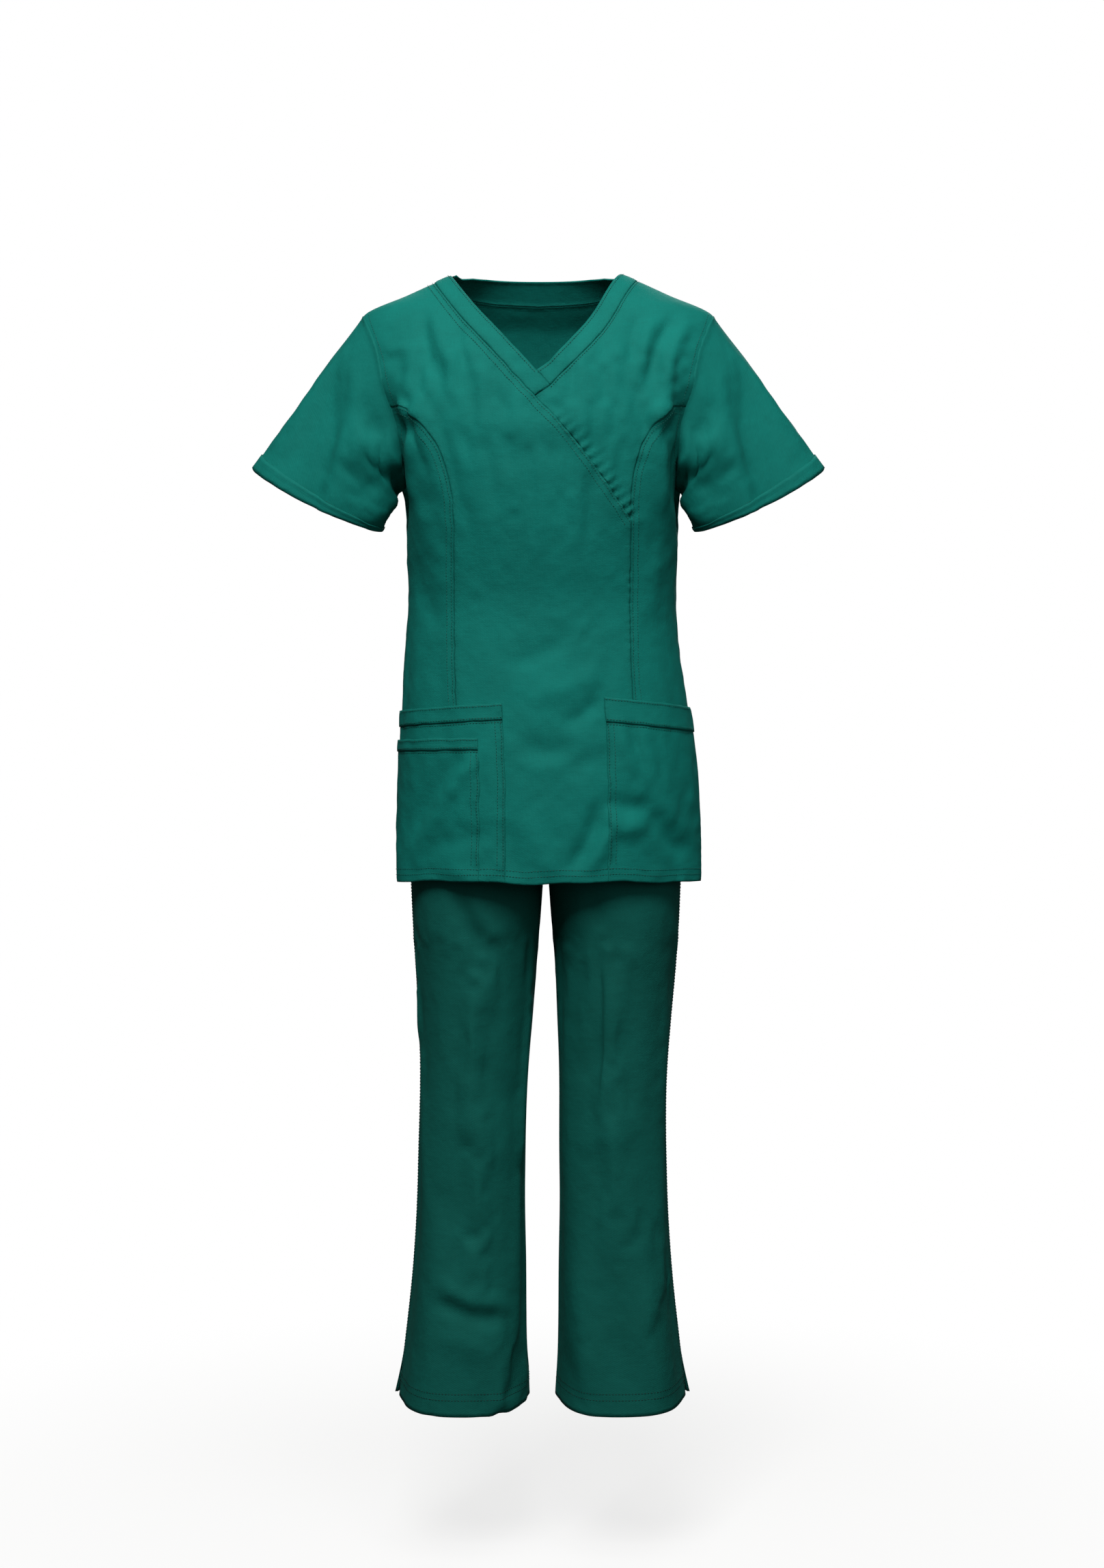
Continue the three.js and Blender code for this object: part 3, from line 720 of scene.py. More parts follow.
def finish_cloth(name, points, flat, faces, thick, seam_gap):
    """A piece of cloth with its flat cut as UV, in metres, and a wall on its inner side."""
    piece = new_object(name + "_cloth", points, [tuple(f) for f in faces])
    mesh = piece.data
    uv = mesh.uv_layers.new(name="cut")
    corners = np.empty(len(mesh.loops), int)
    mesh.loops.foreach_get("vertex_index", corners)
    uv.data.foreach_set("uv", (flat[corners] * MM).ravel())
    # How near each point is to a seam: the twill paints shade there and puckers the cloth.
    near = mesh.attributes.new("seam", "FLOAT", "POINT")
    near.data.foreach_set("value", np.exp(-((seam_gap / 4.0) ** 2)).astype(np.float32))
    firsts = points[np.array([p.vertices[0] for p in mesh.polygons])]
    normals = np.array([p.normal for p in mesh.polygons])
    if (normals * outward_of(name, firsts)).sum() < 0:
        mesh.flip_normals()
    mesh.shade_smooth()
    wall = piece.modifiers.new("Wall", "SOLIDIFY")
    wall.thickness = thick * MM
    wall.offset = -1
    wall.use_even_offset = False
    PIECES[name] = {"piece": piece, "cut": flat_area(flat, faces), "flat": narrowest(flat)}
    return piece


def narrowest(flat):
    """Width and length of the smallest rectangle that the flat cut fits."""
    best = None
    for turn in np.radians(np.arange(0, 90, 2.0)):
        x = flat @ np.array([math.cos(turn), math.sin(turn)])
        y = flat @ np.array([-math.sin(turn), math.cos(turn)])
        size = (np.ptp(x), np.ptp(y))
        if best is None or size[0] * size[1] < best[0] * best[1]:
            best = size
    return tuple(sorted(best))


def flat_area(flat, faces):
    total = 0.0
    for face in faces:
        x, y = flat[list(face)].T
        total += abs(np.dot(x, np.roll(y, -1)) - np.dot(y, np.roll(x, -1))) / 2
    return total


def outward_of(name, points):
    """Directions away from the middle of the body, sleeve or leg that the points lie on."""
    middle = np.zeros_like(points)
    if name.startswith(("trouser", "leg")):
        side = np.sign(points[:, 0].mean())
        middle[:, 0] = side * (LEG(points[:, 2], 1) + LEG(points[:, 2], 2)) / 2
    if name.startswith("sleeve"):
        side = np.sign(points[:, 0].mean())
        share = smooth(points[:, 0] * side, 165, 330)
        middle[:, 0] = side * (180 + 75 * share)
        middle[:, 2] = 243 - 110 * share
    else:
        middle[:, 2] = points[:, 2]
    away = points - middle
    return away / np.maximum(np.linalg.norm(away, axis=-1, keepdims=True), 1e-9)


def make_top():
    over = (BELOW_WRAP + WRAP[::-1] + JOIN_RIGHT[1:] + [(-FAR, FAR)]
            + flip(PRINCESS)[::-1])

    def over_lift(s, z):
        gap, _, _ = near_line(front_x(s, z, -1), z, WRAP)
        return 1.1 * np.exp(-(gap / 14.0) ** 2)

    panel("front_overlap_panel", over, -1, lifted=over_lift, seam=0.4)
    panel("front_underlap_panel", FROM_FOOT[::-1] + LEFT_JOIN[1:] + [(FAR, FAR)]
          + ABOVE_WRAP[::-1], -1, grain=4.0)

    def side_lift(s, z):
        gap, _, _ = near_line(np.abs(front_x(s, z, -1)), z, PRINCESS)
        return -0.9 * np.exp(-((gap / 4.0) ** 2))

    side = sides(PRINCESS, 1.5)
    side = min(side, key=lambda line: sum(x for x, _ in line)) + [(FAR, -FAR)]
    panel("side_front_panel_left", side, -1, lifted=side_lift, seam=0.25)
    panel("side_front_panel_right", flip(side), -1, lifted=side_lift, seam=0.25)
    panel("neck_band_right", NECK_RIGHT + [BAND_CORNER, BAND_FOOT] + JOIN_RIGHT, -1,
          lift=1.1, thick=1.6, grain=4.0, seam=0.8)
    panel("neck_band_left", NECK_LEFT[::-1] + LEFT_JOIN[::-1][:-1], -1, lift=0.6, thick=1.4,
          grain=4.0, seam=0.5)
    neck = BACK_NECK_LINE[1:-1]
    corner = neck[0][1]
    below = neck + [(-FAR, corner), (-FAR, -FAR), (FAR, -FAR), (FAR, corner)]
    panel("back_panel", below, 1)
    top = [(60, NECK_TOP_Z), (76, NECK_TOP_Z - 1), (88, NECK_TOP_Z - 3.4),
           (FAR, NECK_TOP_Z - NECK_DIP)]
    panel("back_neck_band", neck + flip(top)[::-1] + top, 1, lift=0.8, thick=1.8, grain=4.0)
    panel("wrap_facing", strip(FROM_FOOT, 11), -1, lift=-1.5)
    hem = [(-FAR, TOP_HEM_Z), (FAR, TOP_HEM_Z), (FAR, TOP_HEM_Z + TOP_HEM_DEPTH),
           (-FAR, TOP_HEM_Z + TOP_HEM_DEPTH)]
    panel("top_hem_front", hem, -1, lift=-1.5, seam=0.2)
    panel("top_hem_back", hem, 1, lift=-1.5, seam=0.2)


def strip(line, width):
    one, other = sides(line, width)
    return one + other[::-1]


def mouth_at(size, x):
    """Height of a pocket's mouth."""
    return size["top"] - size["slope"] * abs(x - size["inner"])


def pocket_outline(size, depth):
    far = math.copysign(175, size["inner"])
    line = [(x, mouth_at(size, x)) for x in (size["inner"], far)]
    return line + [(x, max(z - depth, TOP_HEM_Z)) for x, z in line[::-1]]


def make_pocket(name, band_name, size, level, gape):
    """A patch pocket with a folded band along its mouth."""

    def stand_off(s, z):
        """A pocket stands off the panel a little below its mouth and lies flat at its edges."""
        x = front_x(s, z, -1)
        across = smooth(np.abs(x - size["inner"]), 0, 30)
        across = across * smooth(limit_at(z) - np.abs(x), 0, 24)
        down = smooth(z, size["top"] - 90, size["top"] - 6)
        return gape * across * down

    size["gape"] = stand_off
    panel(name, pocket_outline(size, 2 * FAR), -1, lift=level, lifted=stand_off, seam=0.5)
    panel(band_name, pocket_outline(size, size["band"]), -1, lift=level + 1.5, thick=1.2,
          lifted=stand_off, seam=0.25, grain=4.0)


def make_pockets():
    make_pocket("pocket_right", "pocket_band_right", RIGHT_POCKET, 1.5, 1.2)
    make_pocket("utility_pocket", "utility_pocket_band", UTILITY_POCKET, 3.0, 2.0)
    make_pocket("pocket_left", "pocket_band_left", LEFT_POCKET, 1.5, 2.2)


# ---- sleeves -------------------------------------------------------------------------

SLEEVE_COLUMNS = 40
SLEEVE_ROWS = 16


def ring_points(angle):
    """The armhole in the front view for angles 0 at the shoulder to pi at the armpit."""
    z = ARMPIT[1] + (SHOULDER_TIP[1] - ARMPIT[1]) * (1 + np.cos(angle)) / 2
    return ARMHOLE(z, 1), z


def ring_base(angle):
    x, z = ring_points(angle)
    share = np.minimum(x / BODY(z, 1), 1) ** ROUNDNESS
    front = np.sin(angle) > 0
    y = np.where(front, -BODY(z, 2), BODY(z, 3)) * (1 - share) ** (1 / ROUNDNESS)
    return np.stack([x, y, z], -1)


def cuff_base(angle):
    middle = (np.array(CUFF_TIP) + np.array(CUFF_UNDERARM)) / 2
    half = (np.array(CUFF_TIP) - np.array(CUFF_UNDERARM)) / 2
    length = np.hypot(*half)
    drop = np.abs(np.sin(angle)) * np.where(np.sin(angle) > 0, 16, 8)
    return np.stack([
        middle[0] + half[0] * np.cos(angle) + drop * half[1] / length,
        -50 * np.sin(angle),
        middle[1] + half[1] * np.cos(angle) - drop * half[0] / length,
    ], -1)


def sleeve_base(angle, along):
    return ring_base(angle) * (1 - along)[..., None] + cuff_base(angle) * along[..., None]


def settle_sleeve():
    angle = np.arange(SLEEVE_COLUMNS) / SLEEVE_COLUMNS * 2 * math.pi
    along = np.linspace(0, 1, SLEEVE_ROWS)
    grid = sleeve_base(np.broadcast_to(angle, (SLEEVE_ROWS, SLEEVE_COLUMNS)),
                       np.broadcast_to(along[:, None], (SLEEVE_ROWS, SLEEVE_COLUMNS)))
    held = 1 - smooth(np.broadcast_to(along[:, None], grid.shape[:2]), 0.02, 0.4)
    middle = grid.mean(1, keepdims=True)
    core = middle + (grid - middle) * np.array([0.85, 0.6, 0.85])
    return settle("sleeve", grid, held, core, 0.03, 24, 9, 5)


SLEEVE_SHIFT = settle_sleeve()

ARMPIT_HOLLOW = 8.0
SLEEVE_FULLNESS = 1.2  # the folds are worn this much deeper than the figures below

# Folds of a sleeve: angle and share of the way down at both ends, half width and height.
SLEEVE_FOLDS = [
    (2.5, 0.02, 1.5, 0.5, 0.16, -4.0),
    (2.85, 0.05, 1.95, 0.7, 0.18, 3.6),
    (2.2, 0.03, 1.2, 0.36, 0.14, 2.4),
    (2.95, 0.3, 2.3, 0.95, 0.16, -3.2),
    (2.8, 0.2, 2.6, 1.1, 0.5, -7.0),
    (3.6, 0.05, 4.5, 0.6, 0.2, 3.0),
    (3.4, 0.3, 4.0, 0.9, 0.18, -2.6),
]


def sleeve_point(angle, along, side, lift):
    def base(a, v):
        row = np.clip(v, 0.0, 1) * (SLEEVE_ROWS - 1)
        shift = bicubic(SLEEVE_SHIFT, row, (a / (2 * math.pi) % 1) * SLEEVE_COLUMNS, True)
        point = sleeve_base(a, v) + shift
        return point

    tip = 0.9 * np.exp(6 * (np.cos(angle) - 1))
    along = np.where(along < 0, along * (1 - tip), along)
    step = 0.03
    across = base(angle + step, along) - base(angle - step, along)
    down = base(angle, along + step) - base(angle, along - step)
    normal = np.cross(down, across)
    normal /= np.maximum(np.linalg.norm(normal, axis=-1, keepdims=True), 1e-9)
    height = np.zeros(np.shape(angle))
    turn = angle % (2 * math.pi)
    for a0, v0, a1, v1, width, tall in SLEEVE_FOLDS:
        length = math.hypot(a1 - a0, v1 - v0)
        t = ((turn - a0) * (a1 - a0) + (along - v0) * (v1 - v0)) / length**2
        gap = ((turn - a0) * (v1 - v0) - (along - v0) * (a1 - a0)) / length
        ends = tall * smooth(t, -0.1, 0.3) * smooth(-t, -1.2, -0.7)
        height += ends * np.exp(-(gap / width) ** 2)
    height = SLEEVE_FULLNESS * height * smooth(along, 0, 0.22) + lift
    below_seam = np.exp(-(((along - 0.1) / 0.08) ** 2))
    height -= ARMPIT_HOLLOW * below_seam * np.exp(-(((turn - 2.55) / 0.6) ** 2))
    height -= 1.2 * smooth(-along, -0.02, 0.02)
    point = base(angle, along) + normal * height[..., None]
    point = point + ring_shift(angle, side) * ((1 - along) ** 2)[..., None]
    far = np.clip(along, 0, 1)
    point[..., 0] += (side * -4.5 * (1 - (1 - far) ** 2)) - 1.5 * far
    return point * np.array([side, 1, 1])


def ring_shift(angle, side):
    """How far the worn top has moved its armhole, for the sleeve to follow."""
    x, z = ring_points(angle)
    moved = np.zeros(np.shape(angle) + (3,))
    for face, chosen in ((-1, np.sin(angle) > 0), (1, np.sin(angle) <= 0)):
        flat = np.array(to_flat([(side * a, b) for a, b in zip(x.ravel(), z.ravel())], face))
        worn = surface(flat[:, 0], z.ravel(), face, -0.3).reshape(x.shape + (3,))
        worn = worn * np.array([side, 1, 1])
        moved = np.where(chosen[..., None], worn - ring_base(angle), moved)
    return moved


def make_sleeves():
    for word, side in (("left", 1), ("right", -1)):
        sleeve_piece("sleeve_" + word, side, -0.03, 1.0, 48, 0.0)
        sleeve_piece("sleeve_hem_" + word, side, 0.91, 0.995, 5, -1.5)


def sleeve_piece(name, side, start, stop, rows, lift):
    columns = 88
    angle, along = np.meshgrid(np.linspace(math.pi + 0.002, 3 * math.pi - 0.002, columns),
                               np.linspace(start, stop, rows))
    points = sleeve_point(angle, along, side, np.full(angle.shape, lift))
    around = np.concatenate([np.zeros((rows, 1)), np.cumsum(
        np.linalg.norm(np.diff(points, axis=1), axis=-1), axis=1)], 1)
    down = np.concatenate([np.zeros((1, columns)), np.cumsum(
        np.linalg.norm(np.diff(points, axis=0), axis=-1), axis=0)], 0)
    flat = np.stack([around, down], -1).reshape(-1, 2)
    gap = np.minimum(np.minimum(around, around[:, -1:] - around),
                     np.minimum(down, down[-1:] - down))
    faces = grid_faces(rows, columns, False)
    return finish_cloth(name, points.reshape(-1, 3), flat, faces, CLOTH, gap.ravel())


# ---- trousers ------------------------------------------------------------------------

LEG_SIM_Z = np.arange(LEG_HEM_Z, CROTCH_Z + 1, SIM_STEP)
LEG_SIM_HALF = 24
LEG_FINE = 60


def leg_row(z, count):
    """One section of the left leg: the front from the outseam to the inseam, then the back."""
    fine = np.linspace(1, 0, 361)
    front = even(leg_section(fine, z, -1), count + 1)
    rear = even(leg_section(fine[::-1], z, 1), count + 1)
    return front, rear


def settle_leg(seed):
    rows = []
    for z in LEG_SIM_Z:
        front, rear = leg_row(z, LEG_SIM_HALF)
        rows.append(np.vstack([front[:-1], rear[:-1]]))
    grid = np.array(rows)
    held = smooth(grid[..., 2], -400, -300)
    middle = grid.mean(1, keepdims=True)
    core = middle + (grid - middle) * np.array([0.84, 0.8, 1])
    return settle("leg", grid, held, core, 0.03, 26, 12, seed)


LEG_SHIFT = {1: settle_leg(11), -1: settle_leg(23)}

# Folds of the legs in the front view, for the wearer's left (x above 0) and right.
LEG_FOLDS = [
    ((-100, -312), (-62, -384), 11, -4.0),
    ((-84, -306), (-46, -372), 11, 3.2),
    ((-118, -768), (-40, -792), 9, -4.4),
    ((-112, -752), (-44, -776), 9, 3.0),
    ((-120, -806), (-50, -822), 12, 2.2),
    ((-30, -560), (-86, -500), 16, -2.4),
    ((-40, -620), (-100, -560), 18, 2.2),
    ((-120, -640), (-60, -700), 18, -2.0),
    ((46, -306), (86, -370), 12, -3.0),
    ((62, -330), (110, -400), 14, 2.4),
    ((34, -520), (84, -470), 16, -2.2),
    ((40, -600), (110, -560), 18, 2.2),
    ((46, -720), (60, -860), 12, 2.6),
    ((84, -700), (98, -870), 14, -2.4),
    ((118, -740), (132, -870), 10, 2.6),
]
LEG_BACK_FOLDS = [
    ((-110, -330), (-60, -420), 14, 3.0),
    ((60, -330), (110, -420), 14, -3.0),
    ((-110, -560), (-50, -540), 12, -3.4),
    ((50, -550), (110, -570), 12, -3.4),
    ((-70, -640), (-90, -860), 16, 3.0),
    ((84, -650), (70, -860), 16, 3.0),
]


def tucked(points, share):
    """Points moved in towards the body, where the trousers lie under the top."""
    kept = 1 - share[..., None] * np.array([0.035, 0.045, 0])
    inwards = np.sign(points) * np.array([2.0, 2.0, 0]) * share[..., None]
    moved = points * kept - inwards
    return np.where(np.abs(points) < 2.5, points, moved)


def leg_lean(z):
    return 4.0 * smooth(-z, 100, 260) * (1 - smooth(-z, 380, 620))


def leg_piece(name, side, face, z_low, z_high, lift, rows):
    columns = LEG_FINE + 1
    zs = np.linspace(z_low, z_high, rows)
    base = np.empty((rows, columns, 3))
    for r, z in enumerate(zs):
        front, rear = leg_row(z, LEG_FINE)
        base[r] = front if face < 0 else rear[::-1]  # both from the outseam to the inseam
    lengths = np.linalg.norm(np.diff(base, axis=1), axis=2).sum(1)[:, None]
    column, z = np.meshgrid(np.arange(columns) / LEG_FINE, zs)
    sim_column = column * LEG_SIM_HALF if face < 0 else (2 - column) * LEG_SIM_HALF
    sim_row = np.clip((z - LEG_HEM_Z) / SIM_STEP, 0, len(LEG_SIM_Z) - 1)
    shift = bicubic(LEG_SHIFT[side], sim_row, sim_column, True)
    calm = np.minimum(column, 1 - column) * 150
    base = base + 0.5 * shift * (smooth(-z, 290, 430) * smooth(calm, -6, 22))[..., None]
    base = tucked(base, smooth(z, -235, -150))
    along = np.gradient(base, axis=1)
    up = np.gradient(base, axis=0)
    normal = np.cross(up, along)
    normal /= np.maximum(np.linalg.norm(normal, axis=-1, keepdims=True), 1e-9)
    away = base - np.stack([(LEG(z, 1) + LEG(z, 2)) / 2, 0 * z, z], -1)
    if (normal * away).sum() < 0:
        normal = -normal
    folds = LEG_FOLDS if face < 0 else LEG_BACK_FOLDS
    height = folds_at(folds, base[..., 0] * side, z)
    seam_gap = np.minimum(column, 1 - column) * lengths
    height = height * smooth(seam_gap, 0, 12) - 0.35 * np.exp(-((seam_gap / 2.4) ** 2)) + lift
    points = base + normal * height[..., None]
    hem = smooth(-z, 820, 888)
    droop = -9.0 * hem * np.sin(column * math.pi) * (1.0 if face < 0 else 0.7)
    points[..., 2] += droop
    opening = np.clip(1 - (z - LEG_HEM_Z) / SLIT_HEIGHT, 0, 1) ** 1.4
    edge = np.exp(-column * 14) * opening
    points[..., 1] += face * 5.0 * edge
    points[..., 0] += (4.0 if face > 0 else -1.5) * edge
    points[..., 0] = np.maximum(points[..., 0], 0.3)
    points[..., 1] = face * np.maximum(face * points[..., 1], 0.02)
    wider = 3.5 * smooth(-z, 480, 640)
    middle = (LEG(z, 1) + LEG(z, 2)) / 2
    points[..., 0] += wider * np.clip((points[..., 0] - middle) / 60, -1, 1)
    points[..., 0] *= side
    points[..., 0] += leg_lean(z)
    flat = np.stack([(column - 0.5) * lengths * side, z], -1).reshape(-1, 2)
    faces = grid_faces(rows, columns, False)
    gap = np.minimum(seam_gap, z - z_low)
    return finish_cloth(name, points.reshape(-1, 3), flat, faces, CLOTH, gap.ravel())


def make_trousers():
    for word, side in (("left", 1), ("right", -1)):
        for face_word, face in (("front", -1), ("back", 1)):
            leg_piece(f"trouser_{face_word}_{word}", side, face, LEG_HEM_Z,
                      -WAISTBAND_DEPTH - 0.3, 0.0, 171)
            leg_piece(f"leg_hem_{face_word}_{word}", side, face, LEG_HEM_Z + 0.3,
                      LEG_HEM_Z + LEG_HEM_DEPTH, -1.6, 7)


WAIST_COLUMNS = 181


def waist_ring(face, levels, insets, gathered):
    """Half a ring round the waist at heights and distances in from the tucked body."""
    columns = WAIST_COLUMNS
    start = math.pi if face < 0 else 0
    turn = np.linspace(start, start + math.pi, columns)
    rows = []
    run = np.linspace(0, half_length(-20.0, face), columns)
    for z, inset in zip(levels, insets):
        ring = body_section(turn, z)
        ring = even(ring, columns)
        middle = np.array([0, 3.0, z])
        away = ring - middle
        away /= np.linalg.norm(away, axis=1, keepdims=True)
        ring = tucked(ring, np.ones(columns))
        ease = smooth(np.minimum(run, run[-1] - run), 0, 10)
        wave = gathered * ease * (np.sin(run / 9.0 * 2 * math.pi + 1.5 * np.sin(run / 31.0))
                                  + 0.4 * np.sin(run / 5.3 * 2 * math.pi))
        rows.append(ring - away * (inset + wave)[..., None])
    points = np.array(rows)
    points[..., 1] = face * np.maximum(face * points[..., 1], 0.1)
    down = np.concatenate([[0], np.cumsum(np.hypot(np.diff(levels), np.diff(insets)))])
    flat = np.stack(np.meshgrid(run, down), -1).reshape(-1, 2)
    return points, flat


def make_waistband():
    for word, face in (("front", -1), ("back", 1)):
        levels = [-46, -41, -35, -28, -20, -12, -6, -3, -1.6, -1.2, -1.6, -3, -6, -12, -20, -28,
                  -35, -40]
        insets = [1.8] * 6 + [1.9, 2.1, 2.8, 4.2, 5.6, 6.3, 6.5] + [6.5] * 5
        points, flat = waist_ring(face, levels, insets, 0.7)
        gap = np.minimum(flat[:, 0], flat[:, 0].max() - flat[:, 0])
        finish_cloth("waistband_" + word, points.reshape(-1, 3), flat,
                     grid_faces(len(levels), WAIST_COLUMNS, False), 0.6, gap)
    levels, insets = [-37, -29, -21, -13, -6], [3.6] * 5
    front, flat_front = waist_ring(-1, levels, insets, 0.3)
    rear, flat_rear = waist_ring(1, levels, insets, 0.3)
    ring = np.concatenate([front[:, :-1], rear[:, :-1]], 1)
    flat = np.concatenate([
        flat_front.reshape(5, WAIST_COLUMNS, 2)[:, :-1],
        flat_rear.reshape(5, WAIST_COLUMNS, 2)[:, :-1] + [flat_front[:, 0].max(), 0],
    ], 1).reshape(-1, 2)
    faces = grid_faces(5, 2 * WAIST_COLUMNS - 2, True)
    finish_cloth("waist_elastic", ring.reshape(-1, 3), flat, faces, 1.3,
                 np.full(len(flat), 50.0))


# ---- stitches ------------------------------------------------------------------------

ROWS = {}
DOUBLE_ROW = (2.5, 8.0)  # distances of a double row of stitches from its seam
STITCH_PITCH = {"top": 0.0034, "left_sleeve": 0.0034, "right_sleeve": 0.0034,
                "trousers": 0.0036}  # in metres


def sew(body, points, facing):
    """Keeps a line of stitches, as points in millimetres, for one body."""
    ROWS.setdefault(body, []).append((np.asarray(points), np.asarray(facing)))


def sew_top(line, face, lift, gape=None):
    line = [p for p in dense(line, 2.0)
            if abs(p[0]) < limit_at(p[1]) - 3.5 and TOP_HEM_Z + 1 < p[1] < NECK_TOP_Z - 6]
    if len(line) < 4:
        return
    flat = np.array(to_flat(line, face))
    z = np.array([p[1] for p in line])
    height = np.full(len(line), lift + 0.25)
    if gape is not None:
        height = height + gape(flat[:, 0], z)
    points = surface(flat[:, 0], z, face, height)
    facing = surface(flat[:, 0], z, face, height + 1.0) - points
    jump = np.linalg.norm(np.diff(points, axis=0), axis=1)
    start = 0
    for cut in list(np.where(jump > 30)[0] + 1) + [len(points)]:
        if cut - start > 3:
            sew("top", points[start:cut], facing[start:cut])
        start = cut


def beside(line, width, side):
    return sides(line, width)[0 if side > 0 else 1]


def sew_the_top():
    for width in (2.5, 8.5):
        sew_top(beside(JOIN_RIGHT[::-1] + WRAP[1:], width, -1), -1, 0.9)
    sew_top(beside(LEFT_JOIN[1:], 2.5, -1), -1, 0.3)
    sew_top(beside(NECK_RIGHT, 3.0, -1), -1, 1.5)
    sew_top(beside(NECK_LEFT, 3.0, 1), -1, 1.0)
    for line in (flip(PRINCESS)[::-1], PRINCESS):
        for width in DOUBLE_ROW:
            sew_top(beside(line, width, -1), -1, 0.1)
    arm = [(float(ARMHOLE(z, 1)), z) for z in np.arange(ARMPIT[1], SHOULDER_TIP[1], 4.0)]
    for line in (arm, flip(arm)):
        for face in (-1, 1):
            for width in DOUBLE_ROW:
                inwards = [(x - math.copysign(width, x), z) for x, z in line]
                sew_top(inwards, face, 0.0)
    for face in (-1, 1):
        for up in (8.0, 14.0):
            if face > 0:
                sew_top([(x, TOP_HEM_Z + up) for x in np.arange(-165, 165.1, 3.0)], face, 0.1)
                continue
            for start, stop, level in ((-165, -77, 3.1), (-73, -49, 1.6), (-45, 63, 0.1),
                                       (67, 165, 1.6)):
                sew_top([(start, TOP_HEM_Z + up), (stop, TOP_HEM_Z + up)], face, level)
    for size, level in ((RIGHT_POCKET, 1.5), (LEFT_POCKET, 1.5), (UTILITY_POCKET, 3.0)):
        sew_pocket(size, level)
    sew_top(beside(BACK_NECK_LINE, 3.0, 1), 1, 0.1)


def sew_pocket(size, level):
    outward = math.copysign(1.0, size["inner"])
    for inside_by in (2.2, 8.2):
        x = size["inner"] + outward * inside_by
        sew_top([(x, mouth_at(size, x) - 1.5), (x, TOP_HEM_Z + 20)], -1, level + 0.3)
    for drop in (2.5, size["band"] - 2.5, size["band"] + 2.5):
        xs = size["inner"] + outward * np.arange(1.5, 120, 3.0)
        line = [(x, mouth_at(size, x) - drop) for x in xs]
        sew_top(line, -1, level + (1.6 if drop < size["band"] else 0.2), size["gape"])


def sew_sleeves():
    angle = np.linspace(math.pi + 0.02, 3 * math.pi - 0.02, 260)
    for body, side in (("left_sleeve", 1), ("right_sleeve", -1)):
        for along in (0.905, 0.93):
            points = sleeve_point(angle, np.full(angle.shape, along), side,
                                  np.full(angle.shape, 0.25))
            outer = sleeve_point(angle, np.full(angle.shape, along), side,
                                 np.full(angle.shape, 1.25))
            sew(body, points, outer - points)


def sew_grid(body, name, columns, chosen, lift=0.25):
    """Stitches along rows or columns of points of a gridded piece."""
    mesh = PIECES[name]["piece"].data
    points = np.array([v.co for v in mesh.vertices]) / MM
    normals = np.array([v.normal for v in mesh.vertices])
    points = points.reshape(-1, columns, 3)
    normals = normals.reshape(-1, columns, 3)
    for pick in chosen:
        line, facing = pick(points), pick(normals)
        sew(body, line + facing * lift, facing)


def sew_the_trousers():
    columns = LEG_FINE + 1
    for word in ("left", "right"):
        for face in ("front", "back"):
            name = f"trouser_{face}_{word}"
            outer = [lambda g, c=c: between(g, c) for c in (0.8, 2.6)]
            inner = [lambda g: between(g, LEG_FINE - 0.9, 0.76)]
            hems = [lambda g, r=r: along_row(g, r) for r in (3.4, 4.6)]
            sew_grid("trousers", name, columns, outer + inner + hems)
    for word in ("front", "back"):
        sew_grid("trousers", "waistband_" + word, WAIST_COLUMNS,
                 [lambda g, r=r: g[r] for r in (1, 6)])


def between(grid, column, start=0.0):
    """A line of points a fraction of the way between two columns of a grid."""
    low = int(column)
    line = grid[:, low] * (1 - column + low) + grid[:, low + 1] * (column - low)
    return line[int(len(line) * start) + 2:-1]


def along_row(grid, row):
    low = int(row)
    return (grid[low] * (1 - row + low) + grid[low + 1] * (row - low))[1:-1]


